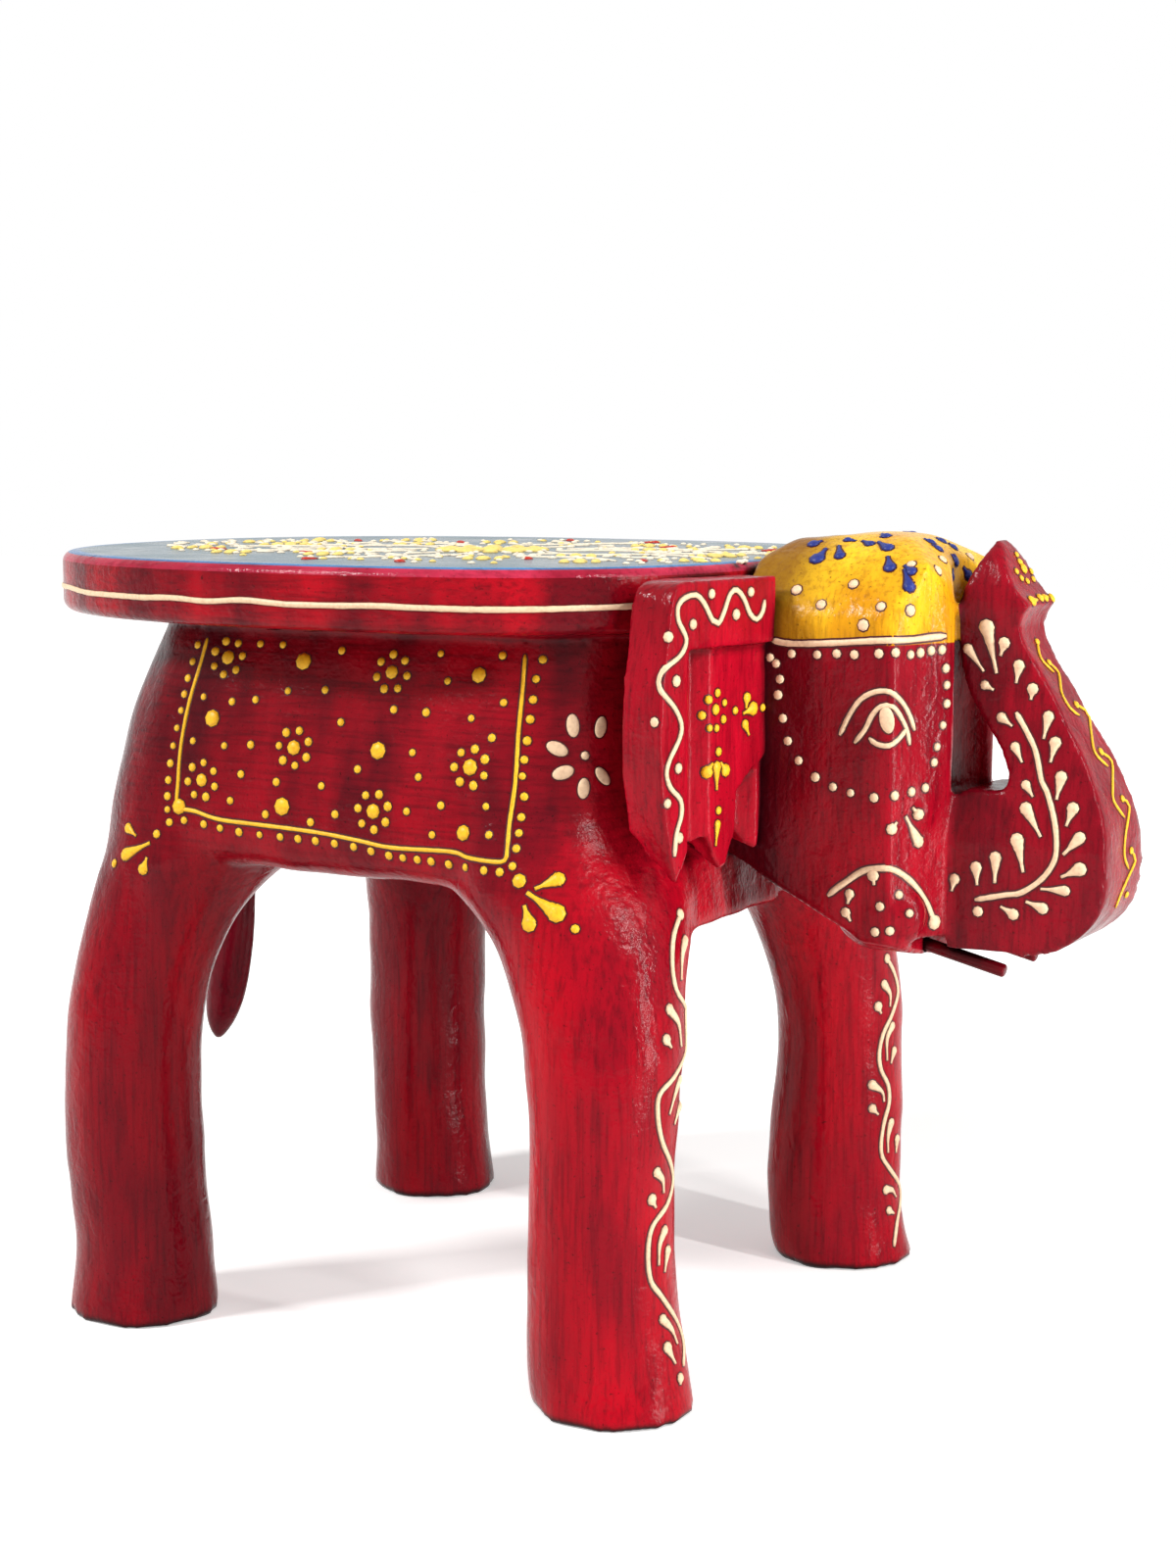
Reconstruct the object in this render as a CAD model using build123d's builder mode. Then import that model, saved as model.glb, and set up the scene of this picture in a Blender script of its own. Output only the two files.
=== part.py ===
import os
from math import copysign, cos, pi, radians, sin

from build123d import *

# A low elephant stool, glued up from carved mango-wood blocks and pegged with dowels.
# Millimetres. +X runs towards the head, +Y to the elephant's left, +Z up from the floor.
# Lengths along X are measured from the widest line of the seat, and seat_line puts that
# line in the frame so that the origin lies under the middle of the whole stool.

# Driving sizes: seat board
seat_top = 280.0
seat_thickness = 22.0
seat_width = 251.0
seat_back = 155.0
seat_front = 134.0
seat_back_power = 2.3
seat_front_power = 2.9
seat_edge_radius = 3.5
outline_steps = 32

# Driving sizes: torso, with its top, bottom and hips worked out from its middle
torso_bottom = 171.0
torso_middle_height = 200.0
torso_front = 118.0
torso_middle_back = 105.0
torso_top_slope = 17.0
torso_bottom_flare = 3.0
torso_middle_width = 212.0
torso_top_taper = 28.0
torso_bottom_spread = 4.0
torso_corner_radius = 45.0
belly_edge_radius = 13.0
chest_drop = 14.0
chest_reach = 10.0
chest_length = 56.0
chest_height = 25.0
chest_edge_radius = 3.0

# Driving sizes: legs
front_foot_x = 115.0
hind_foot_x = -81.5
foot_centre_width = 191.0
foot_radius = 26.3
ankle_radius = 24.6
ankle_height = 65.0
knee_radius = 24.8
knee_height = 105.0
thigh_height = 142.0
front_thigh_radius = 28.5
hind_thigh_radius = 26.5
front_hip_radius = 41.0
hind_hip_radius = 38.0
knee_set_back = 3.0
thigh_lean = 0.55
hip_inset = 35.0
front_hip_inset = 29.0
hind_hip_inset = 39.0

# Driving sizes: head
head_length = 69.0
head_width = 84.0
head_top = 290.3
head_brow = 262.0
head_gap = 1.0
jaw_bottom = 146.5
jaw_corner = 155.0
neck_clearance = 2.0
jaw_hinge_rise = 21.5
jaw_hinge_share = 0.32
chin_rise = 12.0
chin_share = 0.6
jaw_tip_share = 0.82
trunk_width = 39.0
forehead_groove_depth = 7.0
forehead_groove_radius = 24.0
cheek_depth = 12.0
mouth_depth = 9.0
mouth_height = 9.5

# Driving sizes: trunk
trunk_reach = 259.0
trunk_top = 288.0
trunk_bottom = 151.6
trunk_throat_width = 26.0
trunk_waist_width = 24.0
trunk_lip_width = 27.0
trunk_tip_width = 8.0
trunk_seam_top = 201.0

# Driving sizes: ears
ear_thickness = 16.5
ear_width = 59.0
ear_top = 276.0
ear_bottom = 178.7
ear_sweep = 11.6
ear_band = 14.0
ear_recess_top = 254.5
ear_recess_depth = 3.2
ear_root_length = 14.5
ear_notch_height = 13.0
ear_tip_step = 1.5
ear_inner_rise = 22.0

# Driving sizes: tusks and tail
tusk_diameter = 4.6
tusk_length = 29.0
tusk_spacing = 30.0
tusk_droop = 13.0
tusk_socket = 8.0
tusk_rise = 4.7
tusk_tip_radius = 1.0
tail_top = 226.0
tail_tip = 79.0
tail_width = 17.0
tail_depth = 18.0
tail_swing = 13.0

# Driving sizes: hidden dowels and nails
leg_dowel_diameter = 14.0
leg_dowel_length = 44.0
neck_dowel_diameter = 14.0
neck_dowel_length = 40.0
neck_dowel_spacing = 44.0
trunk_dowel_diameter = 8.0
trunk_dowel_length = 30.0
trunk_dowel_spacing = 22.0
ear_dowel_diameter = 6.0
ear_dowel_length = 26.0
ear_dowel_spacing = 26.0
ear_dowel_inset = 11.0
tail_dowel_diameter = 6.0
tail_dowel_length = 18.0
tail_dowel_grip = 6.0
tail_dowel_drop = 32.0
nail_diameter = 3.6
nail_length = 62.0
nail_sink = 1.0
nail_row_length = 120.0
nail_row_width = 110.0

# Places that follow from the driving sizes
seat_line = (seat_back - trunk_reach) / 2
seat_bottom = seat_top - seat_thickness
head_back = seat_front + head_gap
head_front = head_back + head_length
half_head = head_width / 2
torso_top_back = torso_middle_back - torso_top_slope
torso_bottom_back = torso_middle_back + torso_bottom_flare
torso_top_width = torso_middle_width - torso_top_taper
torso_bottom_width = torso_middle_width + torso_bottom_spread
foot_y = foot_centre_width / 2
hip_y = torso_bottom_width / 2 - hip_inset
front_hip_x = torso_front - front_hip_inset
hind_hip_x = hind_hip_inset - torso_middle_back
chest_bottom = torso_bottom - chest_drop
chest_top = chest_bottom + chest_height
neck_bottom = chest_top + neck_clearance
neck_dowel_height = (seat_bottom + neck_bottom) / 2
ear_root = head_back + ear_root_length
ear_dowel_x = ear_root - ear_dowel_inset
tusk_height = jaw_bottom + tusk_rise
tail_dowel_height = tail_top - tail_dowel_drop

os.makedirs("parts", exist_ok=True)


def at(x):
    """Frame coordinate of a length measured from the seat's widest line."""
    return seat_line + x


def both_sides(right_part):
    """A piece on the elephant's right, with its mirror image on the left."""
    with BuildPart() as pair:
        add(right_part)
        add(mirror(right_part, about=Plane.XZ, mode=Mode.PRIVATE))
    return pair.part


# Leg dowels: one upright peg in each hip, half in the leg and half in the torso
with BuildPart() as leg_dowels:
    with BuildSketch(Plane.XY.offset(torso_bottom - leg_dowel_length / 2)):
        for hip_x in (front_hip_x, hind_hip_x):
            with Locations((at(hip_x), 0)):
                with GridLocations(1, 2 * hip_y, 1, 2):
                    Circle(leg_dowel_diameter / 2)
    extrude(amount=leg_dowel_length)
leg_dowels.part.label = "leg_dowels"
export_step(leg_dowels.part, "parts/leg_dowels.step")

# Neck dowels: two level pegs across the joint between head and torso
with BuildPart() as neck_dowels:
    with BuildSketch(Plane.YZ.offset(at(torso_front) - neck_dowel_length / 2)):
        with Locations((0, neck_dowel_height)):
            with GridLocations(neck_dowel_spacing, 1, 2, 1):
                Circle(neck_dowel_diameter / 2)
    extrude(amount=neck_dowel_length)
neck_dowels.part.label = "neck_dowels"
export_step(neck_dowels.part, "parts/neck_dowels.step")

# Trunk dowels: two level pegs, one above the other, across the joint between trunk and face
with BuildPart() as trunk_dowels:
    with BuildSketch(Plane.YZ.offset(at(head_front) - trunk_dowel_length / 2)):
        with Locations((0, (trunk_bottom + trunk_seam_top) / 2)):
            with GridLocations(1, trunk_dowel_spacing, 1, 2):
                Circle(trunk_dowel_diameter / 2)
    extrude(amount=trunk_dowel_length)
trunk_dowels.part.label = "trunk_dowels"
export_step(trunk_dowels.part, "parts/trunk_dowels.step")

# Ear dowels: two level pegs on each side, across the joint between ear and head
with BuildPart() as right_ear_dowels:
    with BuildSketch(Plane.XZ.offset(half_head - ear_dowel_length / 2)):
        with Locations((at(ear_dowel_x), (ear_top + ear_bottom) / 2)):
            with GridLocations(1, ear_dowel_spacing, 1, 2):
                Circle(ear_dowel_diameter / 2)
    extrude(amount=ear_dowel_length)
ear_dowels = both_sides(right_ear_dowels.part)
ear_dowels.label = "ear_dowels"
export_step(ear_dowels, "parts/ear_dowels.step")

# Tail dowel: one level peg that holds the tail to the rump
with BuildPart() as tail_dowel:
    with BuildSketch(Plane.YZ.offset(at(-torso_middle_back - tail_dowel_grip))):
        with Locations((0, tail_dowel_height)):
            Circle(tail_dowel_diameter / 2)
    extrude(amount=tail_dowel_length)
tail_dowel.part.label = "tail_dowel"
export_step(tail_dowel.part, "parts/tail_dowel.step")

# Seat nails: six nails driven down through the seat into the torso, sunk and filled over
with BuildPart() as seat_nails:
    with BuildSketch(Plane.XY.offset(seat_top - nail_sink)):
        with Locations((at(0), 0)):
            with GridLocations(nail_row_length / 2, nail_row_width, 3, 2):
                Circle(nail_diameter / 2)
    extrude(amount=-nail_length)
seat_nails.part.label = "seat_nails"
export_step(seat_nails.part, "parts/seat_nails.step")


def seat_outline():
    """Points round the seat: one power curve behind the widest line, a squarer one ahead of it."""
    points = []
    for step in range(outline_steps):
        angle = 2 * pi * step / outline_steps
        reach = seat_front if cos(angle) > 0 else seat_back
        power = seat_front_power if cos(angle) > 0 else seat_back_power
        along = copysign(abs(cos(angle)) ** (2 / power), cos(angle))
        across = copysign(abs(sin(angle)) ** (2 / power), sin(angle))
        points.append((at(reach * along), seat_width / 2 * across))
    return points


# Seat board: one oval plank with both edges eased, nailed down on the torso
with BuildPart() as seat_board:
    with BuildSketch(Plane.XY.offset(seat_bottom)):
        with BuildLine():
            Spline(*seat_outline(), periodic=True)
        make_face()
    extrude(amount=seat_thickness)
    fillet(seat_board.edges(), seat_edge_radius)
    add(seat_nails.part, mode=Mode.SUBTRACT)
seat_board.part.label = "seat_board"
export_step(seat_board.part, "parts/seat_board.step")


def torso_section(height, back, width):
    """One level of the torso: a rounded rectangle from its back line to the neck's glue face."""
    with BuildSketch(Plane.XY.offset(height)) as section:
        with Locations((at((torso_front - back) / 2), 0)):
            RectangleRounded(torso_front + back, width, torso_corner_radius)
    return section.sketch


def limb_section(height, x, spread, radius):
    """One level of a right-hand limb: a circle at its place along and across the body."""
    with BuildSketch(Plane.XY.offset(height)) as section:
        with Locations((at(x), -spread)):
            Circle(radius)
    return section.sketch


def right_leg(foot_x, thigh_radius, hip_x, hip_radius):
    """A tapered post that leans back a little above the foot and swells into its hip."""
    knee_x = foot_x - knee_set_back
    rise_to_thigh = (thigh_height - knee_height) / (torso_bottom - knee_height)
    thigh_x = knee_x + (hip_x - knee_x) * rise_to_thigh * thigh_lean
    thigh_y = foot_y + (hip_y - foot_y) * rise_to_thigh * thigh_lean
    with BuildPart() as post:
        loft(
            [
                limb_section(0, foot_x, foot_y, foot_radius),
                limb_section(ankle_height, knee_x, foot_y, ankle_radius),
                limb_section(knee_height, knee_x, foot_y, knee_radius),
                limb_section(thigh_height, thigh_x, thigh_y, thigh_radius),
                limb_section(torso_bottom, hip_x, hip_y, hip_radius),
            ]
        )
        add(leg_dowels.part, mode=Mode.SUBTRACT)
    return post.part


# Legs: four tapered posts, cut flat on the floor and glued up under the torso
legs = {
    "front": right_leg(front_foot_x, front_thigh_radius, front_hip_x, front_hip_radius),
    "hind": right_leg(hind_foot_x, hind_thigh_radius, hind_hip_x, hind_hip_radius),
}
for end, leg in legs.items():
    with BuildPart() as leg_right:
        add(leg)
    leg_right.part.label = f"leg_{end}_right"
    export_step(leg_right.part, f"parts/leg_{end}_right.step")
    with BuildPart() as leg_left:
        add(mirror(leg, about=Plane.XZ, mode=Mode.PRIVATE))
    leg_left.part.label = f"leg_{end}_left"
    export_step(leg_left.part, f"parts/leg_{end}_left.step")

# Chest: the deep web between the front legs that the jaw rests over, part of the torso block
with BuildPart() as chest:
    with BuildSketch(Plane.XY.offset(chest_bottom)):
        with Locations((at(torso_front + chest_reach - chest_length / 2), 0)):
            Rectangle(chest_length, 2 * hip_y)
    extrude(amount=chest_height)
    fillet(chest.edges().filter_by(Axis.Y).group_by(Axis.Z)[0], chest_edge_radius)

# Torso block: the barrel of the body, with the shoulders and haunches that the legs are glued under
shoulder_y = torso_middle_width / 2 - torso_corner_radius
shoulder_x = torso_front - torso_corner_radius
haunch_x = torso_corner_radius - torso_middle_back
with BuildPart() as torso_block:
    loft(
        [
            torso_section(torso_bottom, torso_bottom_back, torso_bottom_width),
            torso_section(torso_middle_height, torso_middle_back, torso_middle_width),
            torso_section(seat_bottom, torso_top_back, torso_top_width),
        ]
    )
    fillet(torso_block.edges().group_by(Axis.Z)[0], belly_edge_radius)
    for hip_x, corner_x, radius in (
        (front_hip_x, shoulder_x, front_hip_radius),
        (hind_hip_x, haunch_x, hind_hip_radius),
    ):
        hip_bottom = limb_section(torso_bottom, hip_x, hip_y, radius)
        hip_top = limb_section(torso_middle_height, corner_x, shoulder_y, torso_corner_radius)
        hip = loft([hip_bottom, hip_top], mode=Mode.PRIVATE)
        add(hip)
        add(mirror(hip, about=Plane.XZ, mode=Mode.PRIVATE))
    add(chest.part)
    for leg in legs.values():
        add(leg, mode=Mode.SUBTRACT)
        add(mirror(leg, about=Plane.XZ, mode=Mode.PRIVATE), mode=Mode.SUBTRACT)
    add(leg_dowels.part, mode=Mode.SUBTRACT)
    add(neck_dowels.part, mode=Mode.SUBTRACT)
    add(seat_nails.part, mode=Mode.SUBTRACT)
    add(tail_dowel.part, mode=Mode.SUBTRACT)
torso_block.part.label = "torso_block"
export_step(torso_block.part, "parts/torso_block.step")


# Tusks: two straight pegs that slope down out of the mouth
tusk_root = Plane(
    origin=(at(head_front - mouth_depth), -tusk_spacing / 2, tusk_height),
    z_dir=(cos(radians(tusk_droop)), 0, -sin(radians(tusk_droop))),
)
with BuildPart() as tusk_right:
    with BuildSketch(tusk_root.offset(-tusk_socket)):
        Circle(tusk_diameter / 2)
    extrude(amount=tusk_socket + tusk_length)
    fillet(tusk_right.edges().sort_by(Axis.X)[-1], tusk_tip_radius)
tusk_right.part.label = "tusk_right"
export_step(tusk_right.part, "parts/tusk_right.step")
with BuildPart() as tusk_left:
    add(mirror(tusk_right.part, about=Plane.XZ, mode=Mode.PRIVATE))
tusk_left.part.label = "tusk_left"
export_step(tusk_left.part, "parts/tusk_left.step")


def face_point(along, height):
    """A point of the head's side view, from its place along the head and its height."""
    return (at(head_back + head_length * along), height)


# Head block: sawn to its plan, then to its side view, then to its front view
mouth_top = jaw_bottom + mouth_height
cap_front = face_point(1, head_brow)
cap_back = face_point(0, seat_top + head_gap)
with BuildPart() as head_block:
    with BuildSketch(Plane.XY.offset(jaw_bottom)):
        with BuildLine():
            Polyline(
                (at(torso_front), -half_head),
                (at(head_front - cheek_depth), -half_head),
                (at(head_front), -trunk_width / 2),
                (at(head_front), trunk_width / 2),
                (at(head_front - cheek_depth), half_head),
                (at(torso_front), half_head),
                close=True,
            )
        make_face()
    extrude(amount=head_top - jaw_bottom)
    with BuildSketch(Plane.XZ):
        with BuildLine():
            Polyline(
                cap_back,
                (at(head_back), seat_bottom),
                (at(torso_front), seat_bottom),
                (at(torso_front), neck_bottom),
                (at(torso_front + chest_reach), neck_bottom),
                face_point(jaw_hinge_share, jaw_bottom + jaw_hinge_rise),
                face_point(chin_share, jaw_bottom + chin_rise),
                face_point(jaw_tip_share, jaw_bottom),
                (at(head_front - mouth_depth), jaw_bottom),
                (at(head_front - mouth_depth), mouth_top),
                (at(head_front), mouth_top),
                cap_front,
            )
            Spline(
                cap_front,
                face_point(0.93, head_top - (head_top - head_brow) * 0.4),
                face_point(0.75, head_top - (head_top - head_brow) * 0.08),
                face_point(0.5, head_top),
                face_point(0.2, head_top - (head_top - seat_top) * 0.25),
                cap_back,
                tangents=[(-0.1, 1), (-1, -0.9)],
            )
        make_face()
    extrude(amount=half_head, both=True, mode=Mode.INTERSECT)
    with BuildSketch(Plane.YZ.offset(at(torso_front))):
        with BuildLine():
            Line((-half_head, jaw_corner), (-half_head, head_brow))
            ThreePointArc((-half_head, head_brow), (0, head_top), (half_head, head_brow))
            Line((half_head, head_brow), (half_head, jaw_corner))
            ThreePointArc((half_head, jaw_corner), (0, jaw_bottom), (-half_head, jaw_corner))
        make_face()
    extrude(amount=head_front - torso_front, mode=Mode.INTERSECT)
    with BuildSketch(Plane.XY.offset(trunk_seam_top)):
        with Locations((at(head_front - forehead_groove_depth + forehead_groove_radius), 0)):
            Circle(forehead_groove_radius)
    extrude(amount=head_top - trunk_seam_top, mode=Mode.SUBTRACT)
    add(neck_dowels.part, mode=Mode.SUBTRACT)
    add(trunk_dowels.part, mode=Mode.SUBTRACT)
    add(ear_dowels, mode=Mode.SUBTRACT)
    add(tusk_right.part, mode=Mode.SUBTRACT)
    add(tusk_left.part, mode=Mode.SUBTRACT)
head_block.part.label = "head_block"
export_step(head_block.part, "parts/head_block.step")


def trunk_point(along, up):
    """A point of the trunk's side view, as shares of its depth and of its height."""
    x = head_front + (trunk_reach - head_front) * along
    return (at(x), trunk_bottom + (trunk_top - trunk_bottom) * up)


# Trunk board: a flat-sided board sawn to a J, thinned towards its waist and spread at its lip
seam_share = (trunk_seam_top - trunk_bottom) / (trunk_top - trunk_bottom)
with BuildPart() as trunk_board:
    with BuildSketch(Plane.XZ):
        with BuildLine():
            Line(trunk_point(0, seam_share), trunk_point(0, 0))
            Line(trunk_point(0, 0), trunk_point(0.15, 0))
            Spline(
                trunk_point(0.15, 0),
                trunk_point(0.66, 0.036),
                trunk_point(0.956, 0.161),
                trunk_point(1, 0.25),
                trunk_point(0.947, 0.377),
                trunk_point(0.733, 0.545),
                trunk_point(0.457, 0.719),
                trunk_point(0.384, 0.776),
                trunk_point(0.439, 0.848),
            )
            Spline(
                trunk_point(0.439, 0.848),
                trunk_point(0.33, 0.897),
                trunk_point(0.25, 0.956),
                trunk_point(0.17, 1),
            )
            Spline(
                trunk_point(0.17, 1),
                trunk_point(0.09, 0.945),
                trunk_point(0.01, 0.87),
                trunk_point(-0.02, 0.79),
                trunk_point(0.007, 0.676),
                trunk_point(0.164, 0.562),
                trunk_point(0.32, 0.46),
                trunk_point(0.33, 0.405),
                trunk_point(0.213, 0.397),
                trunk_point(0, seam_share),
            )
        make_face()
    extrude(amount=trunk_width / 2, both=True)
    with BuildSketch(Plane.YZ.offset(at(head_back))):
        with BuildLine():
            front_edge = Spline(
                (trunk_width / 2, trunk_bottom),
                (trunk_width / 2, trunk_bottom + (trunk_top - trunk_bottom) * 0.27),
                (trunk_throat_width / 2, trunk_bottom + (trunk_top - trunk_bottom) * 0.56),
                (trunk_waist_width / 2, trunk_bottom + (trunk_top - trunk_bottom) * 0.74),
                (trunk_lip_width / 2, trunk_bottom + (trunk_top - trunk_bottom) * 0.87),
                (trunk_tip_width / 2, trunk_top),
            )
            mirror(front_edge, about=Plane.YZ)
            Line((trunk_tip_width / 2, trunk_top), (-trunk_tip_width / 2, trunk_top))
            Line((trunk_width / 2, trunk_bottom), (-trunk_width / 2, trunk_bottom))
        make_face()
    extrude(amount=trunk_reach - head_back, mode=Mode.INTERSECT)
    add(trunk_dowels.part, mode=Mode.SUBTRACT)
trunk_board.part.label = "trunk_board"
export_step(trunk_board.part, "parts/trunk_board.step")

# Ears: thick boards with a sunk field inside a raised band and three pointed lappets below
ear_face = Plane(
    origin=(at(ear_root), -half_head, 0),
    x_dir=(-sin(radians(ear_sweep)), -cos(radians(ear_sweep)), 0),
    z_dir=(-cos(radians(ear_sweep)), sin(radians(ear_sweep)), 0),
)
ear_overrun = ear_thickness
with BuildPart() as ear_right:
    with BuildSketch(ear_face):
        with BuildLine():
            Polyline(
                (ear_width * 0.86, ear_bottom),
                (ear_width * 0.76, ear_bottom + ear_notch_height * 0.8),
                (ear_width * 0.52, ear_bottom + ear_notch_height),
                (ear_width * 0.41, ear_bottom + ear_tip_step),
                (ear_width * 0.27, ear_bottom + ear_notch_height + ear_tip_step),
                (ear_width * 0.08, ear_bottom + ear_tip_step * 4),
                (-ear_overrun, ear_bottom + ear_inner_rise),
                (-ear_overrun, ear_top),
                (ear_width * 0.92, ear_top),
            )
            Spline(
                (ear_width * 0.92, ear_top),
                (ear_width * 0.95, ear_recess_top),
                (ear_width, (ear_top + ear_bottom) / 2),
                (ear_width * 0.94, ear_bottom + ear_notch_height * 1.3),
                (ear_width * 0.86, ear_bottom),
            )
        make_face()
    extrude(amount=ear_thickness)
    with BuildSketch(ear_face):
        with Locations((ear_width - ear_band, ear_recess_top)):
            Rectangle(
                ear_width + ear_overrun,
                ear_recess_top - ear_bottom,
                align=(Align.MAX, Align.MAX),
            )
    extrude(amount=ear_recess_depth, mode=Mode.SUBTRACT)
    split(bisect_by=Plane.XZ.offset(half_head), keep=Keep.TOP)
    add(ear_dowels, mode=Mode.SUBTRACT)
ear_right.part.label = "ear_right"
export_step(ear_right.part, "parts/ear_right.step")
with BuildPart() as ear_left:
    add(mirror(ear_right.part, about=Plane.XZ, mode=Mode.PRIVATE))
ear_left.part.label = "ear_left"
export_step(ear_left.part, "parts/ear_left.step")


def rump_line(height):
    """How far behind the widest line the torso's back lies at a height."""
    if height > torso_middle_height:
        rise = (height - torso_middle_height) / (seat_bottom - torso_middle_height)
        return torso_middle_back + (torso_top_back - torso_middle_back) * rise
    drop = min(1, (torso_middle_height - height) / (torso_middle_height - torso_bottom))
    return torso_middle_back + (torso_bottom_back - torso_middle_back) * drop


def tail_section(down, fullness):
    """One level of the tail: an oval that follows the rump and swings back towards the tip."""
    height = tail_top + (tail_tip - tail_top) * down
    with BuildSketch(Plane.XY.offset(height)) as section:
        with Locations((at(-rump_line(height) - tail_swing * down**3), 0)):
            Ellipse(tail_depth / 2 * fullness, tail_width / 2 * fullness)
    return section.sketch


# Tail: a carved strip that lies on the rump and hangs to a pointed tuft
with BuildPart() as tail:
    loft(
        [
            tail_section(0, 0.4),
            tail_section(0.15, 0.9),
            tail_section(0.4, 1),
            tail_section(0.65, 0.9),
            tail_section(0.85, 0.95),
            tail_section(1, 0.15),
        ]
    )
    add(torso_block.part, mode=Mode.SUBTRACT)
    add(tail_dowel.part, mode=Mode.SUBTRACT)
tail.part.label = "tail"
export_step(tail.part, "parts/tail.step")
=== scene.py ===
import random
from functools import partial
from math import cos, copysign, pi, radians, sin

import bmesh
import bpy
from mathutils import Matrix, Vector, geometry, noise
from mathutils.bvhtree import BVHTree


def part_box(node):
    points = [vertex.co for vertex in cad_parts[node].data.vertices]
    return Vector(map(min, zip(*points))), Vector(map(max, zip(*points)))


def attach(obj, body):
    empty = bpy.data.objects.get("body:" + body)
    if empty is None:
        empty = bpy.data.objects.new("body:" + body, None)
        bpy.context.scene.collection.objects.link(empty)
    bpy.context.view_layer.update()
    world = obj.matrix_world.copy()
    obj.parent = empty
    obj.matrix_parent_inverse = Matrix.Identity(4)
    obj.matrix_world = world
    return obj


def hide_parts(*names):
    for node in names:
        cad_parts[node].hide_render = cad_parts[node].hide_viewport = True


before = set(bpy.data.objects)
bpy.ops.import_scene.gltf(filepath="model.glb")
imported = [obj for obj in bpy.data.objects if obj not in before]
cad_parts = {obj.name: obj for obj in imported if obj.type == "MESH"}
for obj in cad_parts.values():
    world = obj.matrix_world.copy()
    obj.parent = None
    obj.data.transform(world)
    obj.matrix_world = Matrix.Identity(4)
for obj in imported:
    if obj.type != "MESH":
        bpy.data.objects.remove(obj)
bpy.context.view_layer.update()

# Studio: a pale matt floor, a white room, a high window on each side, a tall strip of light
# ahead of the elephant, and a long-lens camera a little above the seat.
scene = bpy.context.scene
scene.view_settings.view_transform = "Standard"
frame_width, frame_height = 1200, 1600
camera_place = Vector((0.4767, -0.8234, 0.3222))
camera_drop = 7.63
camera_swing = 30
sensor_height = 36.0
lens_length = 59.6
room_glow = 0.3
floor_size = 9.0
floor_colour = "F4F3F1"
floor_lift = 0.42
floor_lift_far = 0.95
sweep_start = 0.3
sweep_end = 1.1
windows = {
    # place, width, height, height of its aim, power
    "left": ((-0.9, -1.1, 1.35), 0.3, 0.3, 0.15, 27),
    "right": ((1.1, -0.4, 1.1), 0.2, 0.2, 0.15, 8),
    "strip": ((0.95, -0.08, 0.46), 0.03, 0.9, 0.46, 8),
}


def linear(colour):
    """An sRGB hex colour as linear red, green, blue and alpha."""
    channels = [int(colour[start:start + 2], 16) / 255 for start in (0, 2, 4)]
    return [c / 12.92 if c <= 0.04045 else ((c + 0.055) / 1.055) ** 2.4 for c in channels] + [1.0]


def set_node(node, settings):
    """Each setting is an attribute or an input of the node. A node or an output is linked."""
    for key, value in settings.items():
        if isinstance(value, bpy.types.Node):
            value = next(output for output in value.outputs if output.enabled)
        if isinstance(value, bpy.types.NodeSocket):
            node.id_data.links.new(value, node.inputs[key])
        elif isinstance(key, str) and hasattr(node, key):
            setattr(node, key, value)
        else:
            node.inputs[key].default_value = value
    return node


def add_node(tree, kind, settings):
    """Adds a node with its settings and links."""
    return set_node(tree.nodes.new("ShaderNode" + kind), settings)


def seen_directly(tree):
    """1 for camera, mirror and glass rays, which see the white background, else 0."""
    path = add_node(tree, "LightPath", {}).outputs
    shown = path["Is Camera Ray"]
    for ray in ("Is Glossy Ray", "Is Transmission Ray"):
        shown = add_node(tree, "Math", {"operation": "MAXIMUM", 0: shown, 1: path[ray]})
    return shown


camera_data = bpy.data.cameras.new("camera")
camera_data.sensor_fit = "VERTICAL"
camera_data.sensor_height = sensor_height
camera_data.lens = lens_length
camera = bpy.data.objects.new("camera", camera_data)
camera.location = camera_place
camera.rotation_euler = (radians(90 - camera_drop), 0, radians(camera_swing))
scene.collection.objects.link(camera)
scene.camera = camera

for side, (place, wide, tall, aim, power) in windows.items():
    lamp_data = bpy.data.lights.new(f"window_{side}", "AREA")
    lamp_data.shape = "RECTANGLE"
    lamp_data.size = wide
    lamp_data.size_y = tall
    lamp_data.energy = power
    lamp = bpy.data.objects.new(f"window_{side}", lamp_data)
    lamp.location = place
    lamp.visible_camera = False
    lamp.rotation_euler = (Vector((0, 0, aim)) - lamp.location).to_track_quat("-Z", "Y").to_euler()
    scene.collection.objects.link(lamp)

world = bpy.data.worlds.new("white_room")
world.use_nodes = True
world.node_tree.nodes.clear()
room_level = add_node(world.node_tree, "MapRange", {
    "Value": seen_directly(world.node_tree), "To Min": room_glow, "To Max": 1.0,
})
room = add_node(world.node_tree, "Background", {"Color": (1, 1, 1, 1), "Strength": room_level})
add_node(world.node_tree, "OutputWorld", {"Surface": room})
scene.world = world

floor_paper = bpy.data.materials.new("pale_floor_paper")
floor_paper.use_nodes = True
paper = floor_paper.node_tree
paper.nodes.clear()
matt = add_node(paper, "BsdfDiffuse", {"Color": linear(floor_colour)})
floor_place = add_node(paper, "TexCoord", {}).outputs["Object"]
from_middle = add_node(paper, "VectorMath", {"operation": "LENGTH", 0: floor_place})
sweep = add_node(paper, "MapRange", {
    "Value": from_middle, "From Min": sweep_start, "From Max": sweep_end,
    "To Min": floor_lift, "To Max": floor_lift_far,
})
lift = add_node(paper, "Math", {"operation": "MULTIPLY", 0: seen_directly(paper), 1: sweep})
glow = add_node(paper, "Emission", {"Color": (1, 1, 1, 1), "Strength": lift})
both = add_node(paper, "AddShader", {0: matt, 1: glow})
add_node(paper, "OutputMaterial", {"Surface": both})

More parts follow.
